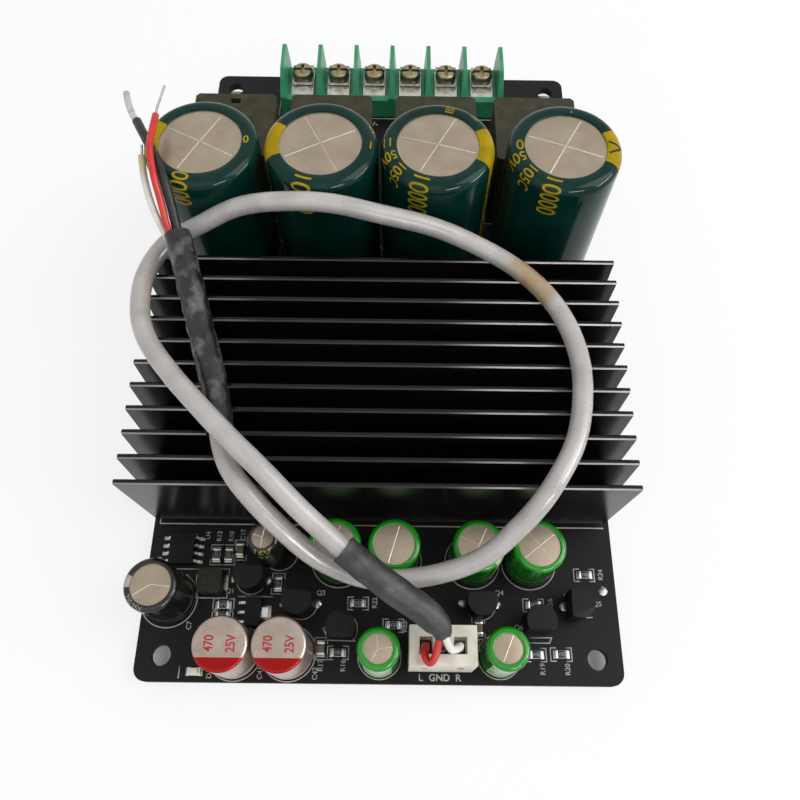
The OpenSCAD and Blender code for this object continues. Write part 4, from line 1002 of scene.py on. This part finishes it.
TAIL_SLEEVE = ((-32, 26.5, 15.2), (-33.5, 33.5, 15.2), (-35.5, 40, 15.7), (-37.5, 46.5, 16.7),
               (-39.5, 53, 18.2), (-41, 57.5, 19.2))
PLUG_RED = ((-0.9, 1.3, 4.5), (-0.8, 0.2, 3.7), (-1, -0.6, 3.1), (-1.2, -1.5, 2.5), (-1.6, -2.3, 2),
            (-2.1, -2.6, 1.6), (-2.6, -2, 1.3), (-2.8, -1.1, 0.9), (-2.7, -0.4, 0.2), (-2.5, 0, -0.8),
            (-2.5, 0, -2.5))
PLUG_WHITE = ((-0.2, 1.3, 5.3), (0.1, 0.3, 4.6), (0.5, -0.4, 3.7), (0.9, -0.8, 2.8), (1.5, -0.8, 1.9),
              (2.1, -0.5, 1), (2.4, -0.2, 0.2), (2.5, 0, -0.8), (2.5, 0, -2.5))
PLUG_SCREEN = ((-0.2, 2, 3.8), (0, 1.3, 3.2), (0, 0.7, 2.4), (0, 0.3, 1.4), (0, 0, 0.4), (0, 0, -1),
               (0, 0, -2.5))
TAIL_RED = ((-41.1, 55.8, 19.8), (-42.2, 57.8, 20.4), (-43.1, 61, 22.5), (-44, 64.2, 24.8), (-44.8, 68.2, 26),
            (-44.8, 71.7, 26.2), (-44.8, 74.7, 26))
TAIL_WHITE = ((-41.7, 55.8, 18.4), (-43, 57.8, 19.1), (-44.7, 61, 21.2), (-45.9, 64.7, 23),
              (-46.8, 68.7, 23.6))
TAIL_SCREEN = ((-39.8, 55.8, 18.7), (-40.9, 57.8, 19.5), (-41.7, 61, 21.9), (-42.7, 64.2, 24),
               (-44.5, 68.2, 24.4), (-46.4, 71.7, 24.4), (-48.4, 75.4, 24))
RED_END = ((-44.8, 73.7, 26), (-44.8, 76.2, 26), (-44.6, 78.2, 26), (-44.3, 80.8, 26))
WHITE_END = ((-46.6, 67.7, 23.4), (-46.9, 69.7, 23.7), (-47, 70.7, 23.8))
SCREEN_END = ((-47.8, 74.4, 24.1), (-49.1, 76.4, 24), (-50.2, 78.8, 24), (-51, 81.3, 24))
CABLE_R = 1.5
PLUG_WIRE_R = 0.55
TAIL_WIRE_R = 0.53
STRAND_R = 0.2


def route(points, steps):
    return [LEAD_AT + p for p in curve(points, steps)]


def wrinkled(r, seed, depth, ring_pitch, taper=0):
    """Radius of shrunk sleeving: soft rings, a slight oval, dents, and a start drawn in over the taper."""
    def radius(along, a):
        ring = math.sin(TAU * along / ring_pitch + 1.5 * math.sin(a + seed))
        dent = noise.noise(Vector((math.cos(a) * 1.3, math.sin(a) * 1.3, along * 0.45 + seed)))
        shrunk = 1 - depth * (0.35 + 0.3 * ring * (0.6 + 0.4 * math.cos(a * 2 + seed)) - 0.8 * dent)
        pinch = 1 - min(along / taper, 1) if taper else 0
        return r * shrunk * (1 - 0.42 * pinch ** 1.6)
    return radius


def stranded(r, strands, pitch):
    """Radius of a bared end whose strands are twisted together."""
    def radius(along, a):
        return r * (0.9 + 0.1 * abs(math.cos(strands / 2 * (a + TAU * along / pitch))))
    return radius


def make_lead():
    def add(name, node, points, radius, material, steps=8, sides=20):
        obj = piece(name, [(*tube(route(points, steps), radius, sides), 0)], [material], "plug", 60)
        if node:
            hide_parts(node)

    path = route(CABLE, 8)

    def jacket(along, a):
        return CABLE_R * (1 - 0.012 * (1 + noise.noise(Vector((math.cos(a), math.sin(a), along * 0.12)))))

    cable = piece("cable_jacket", [(*tube(path, jacket, 28), 0)], [JACKET], "plug", 60)
    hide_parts("signal_cable")
    plug_radius = wrinkled(2.1, 1.3, 0.07, 2.6, 3.6)
    tail_radius = wrinkled(2.06, 4.1, 0.08, 3.1)
    screen_radius = wrinkled(0.75, 2.2, 0.08, 1.7)
    twist = stranded(STRAND_R, 5, 2.4)
    screen_twist = stranded(TAIL_WIRE_R, 9, 4.0)
    add("plug_end_sleeve", "plug_sleeve", PLUG_SLEEVE, plug_radius, PLUG_SHRINK, 24, 36)
    add("tail_end_sleeve", "tail_sleeve", TAIL_SLEEVE, tail_radius, TAIL_SHRINK, 20, 36)
    add("red_plug_lead", "plug_wire_red", PLUG_RED, PLUG_WIRE_R, RED)
    add("white_plug_lead", "plug_wire_white", PLUG_WHITE, PLUG_WIRE_R, WHITE)
    add("screen_plug_lead", "plug_wire_screen", PLUG_SCREEN, PLUG_WIRE_R, BLACKWIRE)
    add("red_tail_lead", "tail_wire_red", TAIL_RED, TAIL_WIRE_R, RED)
    add("white_tail_lead", "tail_wire_white", TAIL_WHITE, TAIL_WIRE_R, WHITE)
    add("screen_tail_lead", "tail_wire_screen", TAIL_SCREEN, screen_radius, BLACKWIRE, 14)
    add("red_tinned_end", "tinned_ends", RED_END, twist, TIN, 12)
    add("white_tinned_end", None, WHITE_END, twist, TIN, 12)
    add("screen_tinned_end", None, SCREEN_END, screen_twist, TIN, 14, 36)
    length = sum((b - a).length for a, b in zip(path, path[1:])) * MM


make_camera()
make_lead()
make_world()
make_floor()
make_lights()
dress_cad()
make_filter_cans()
make_small_cans()
make_chips()
make_silkscreen()
make_pads()

scene.view_settings.view_transform = "Standard"
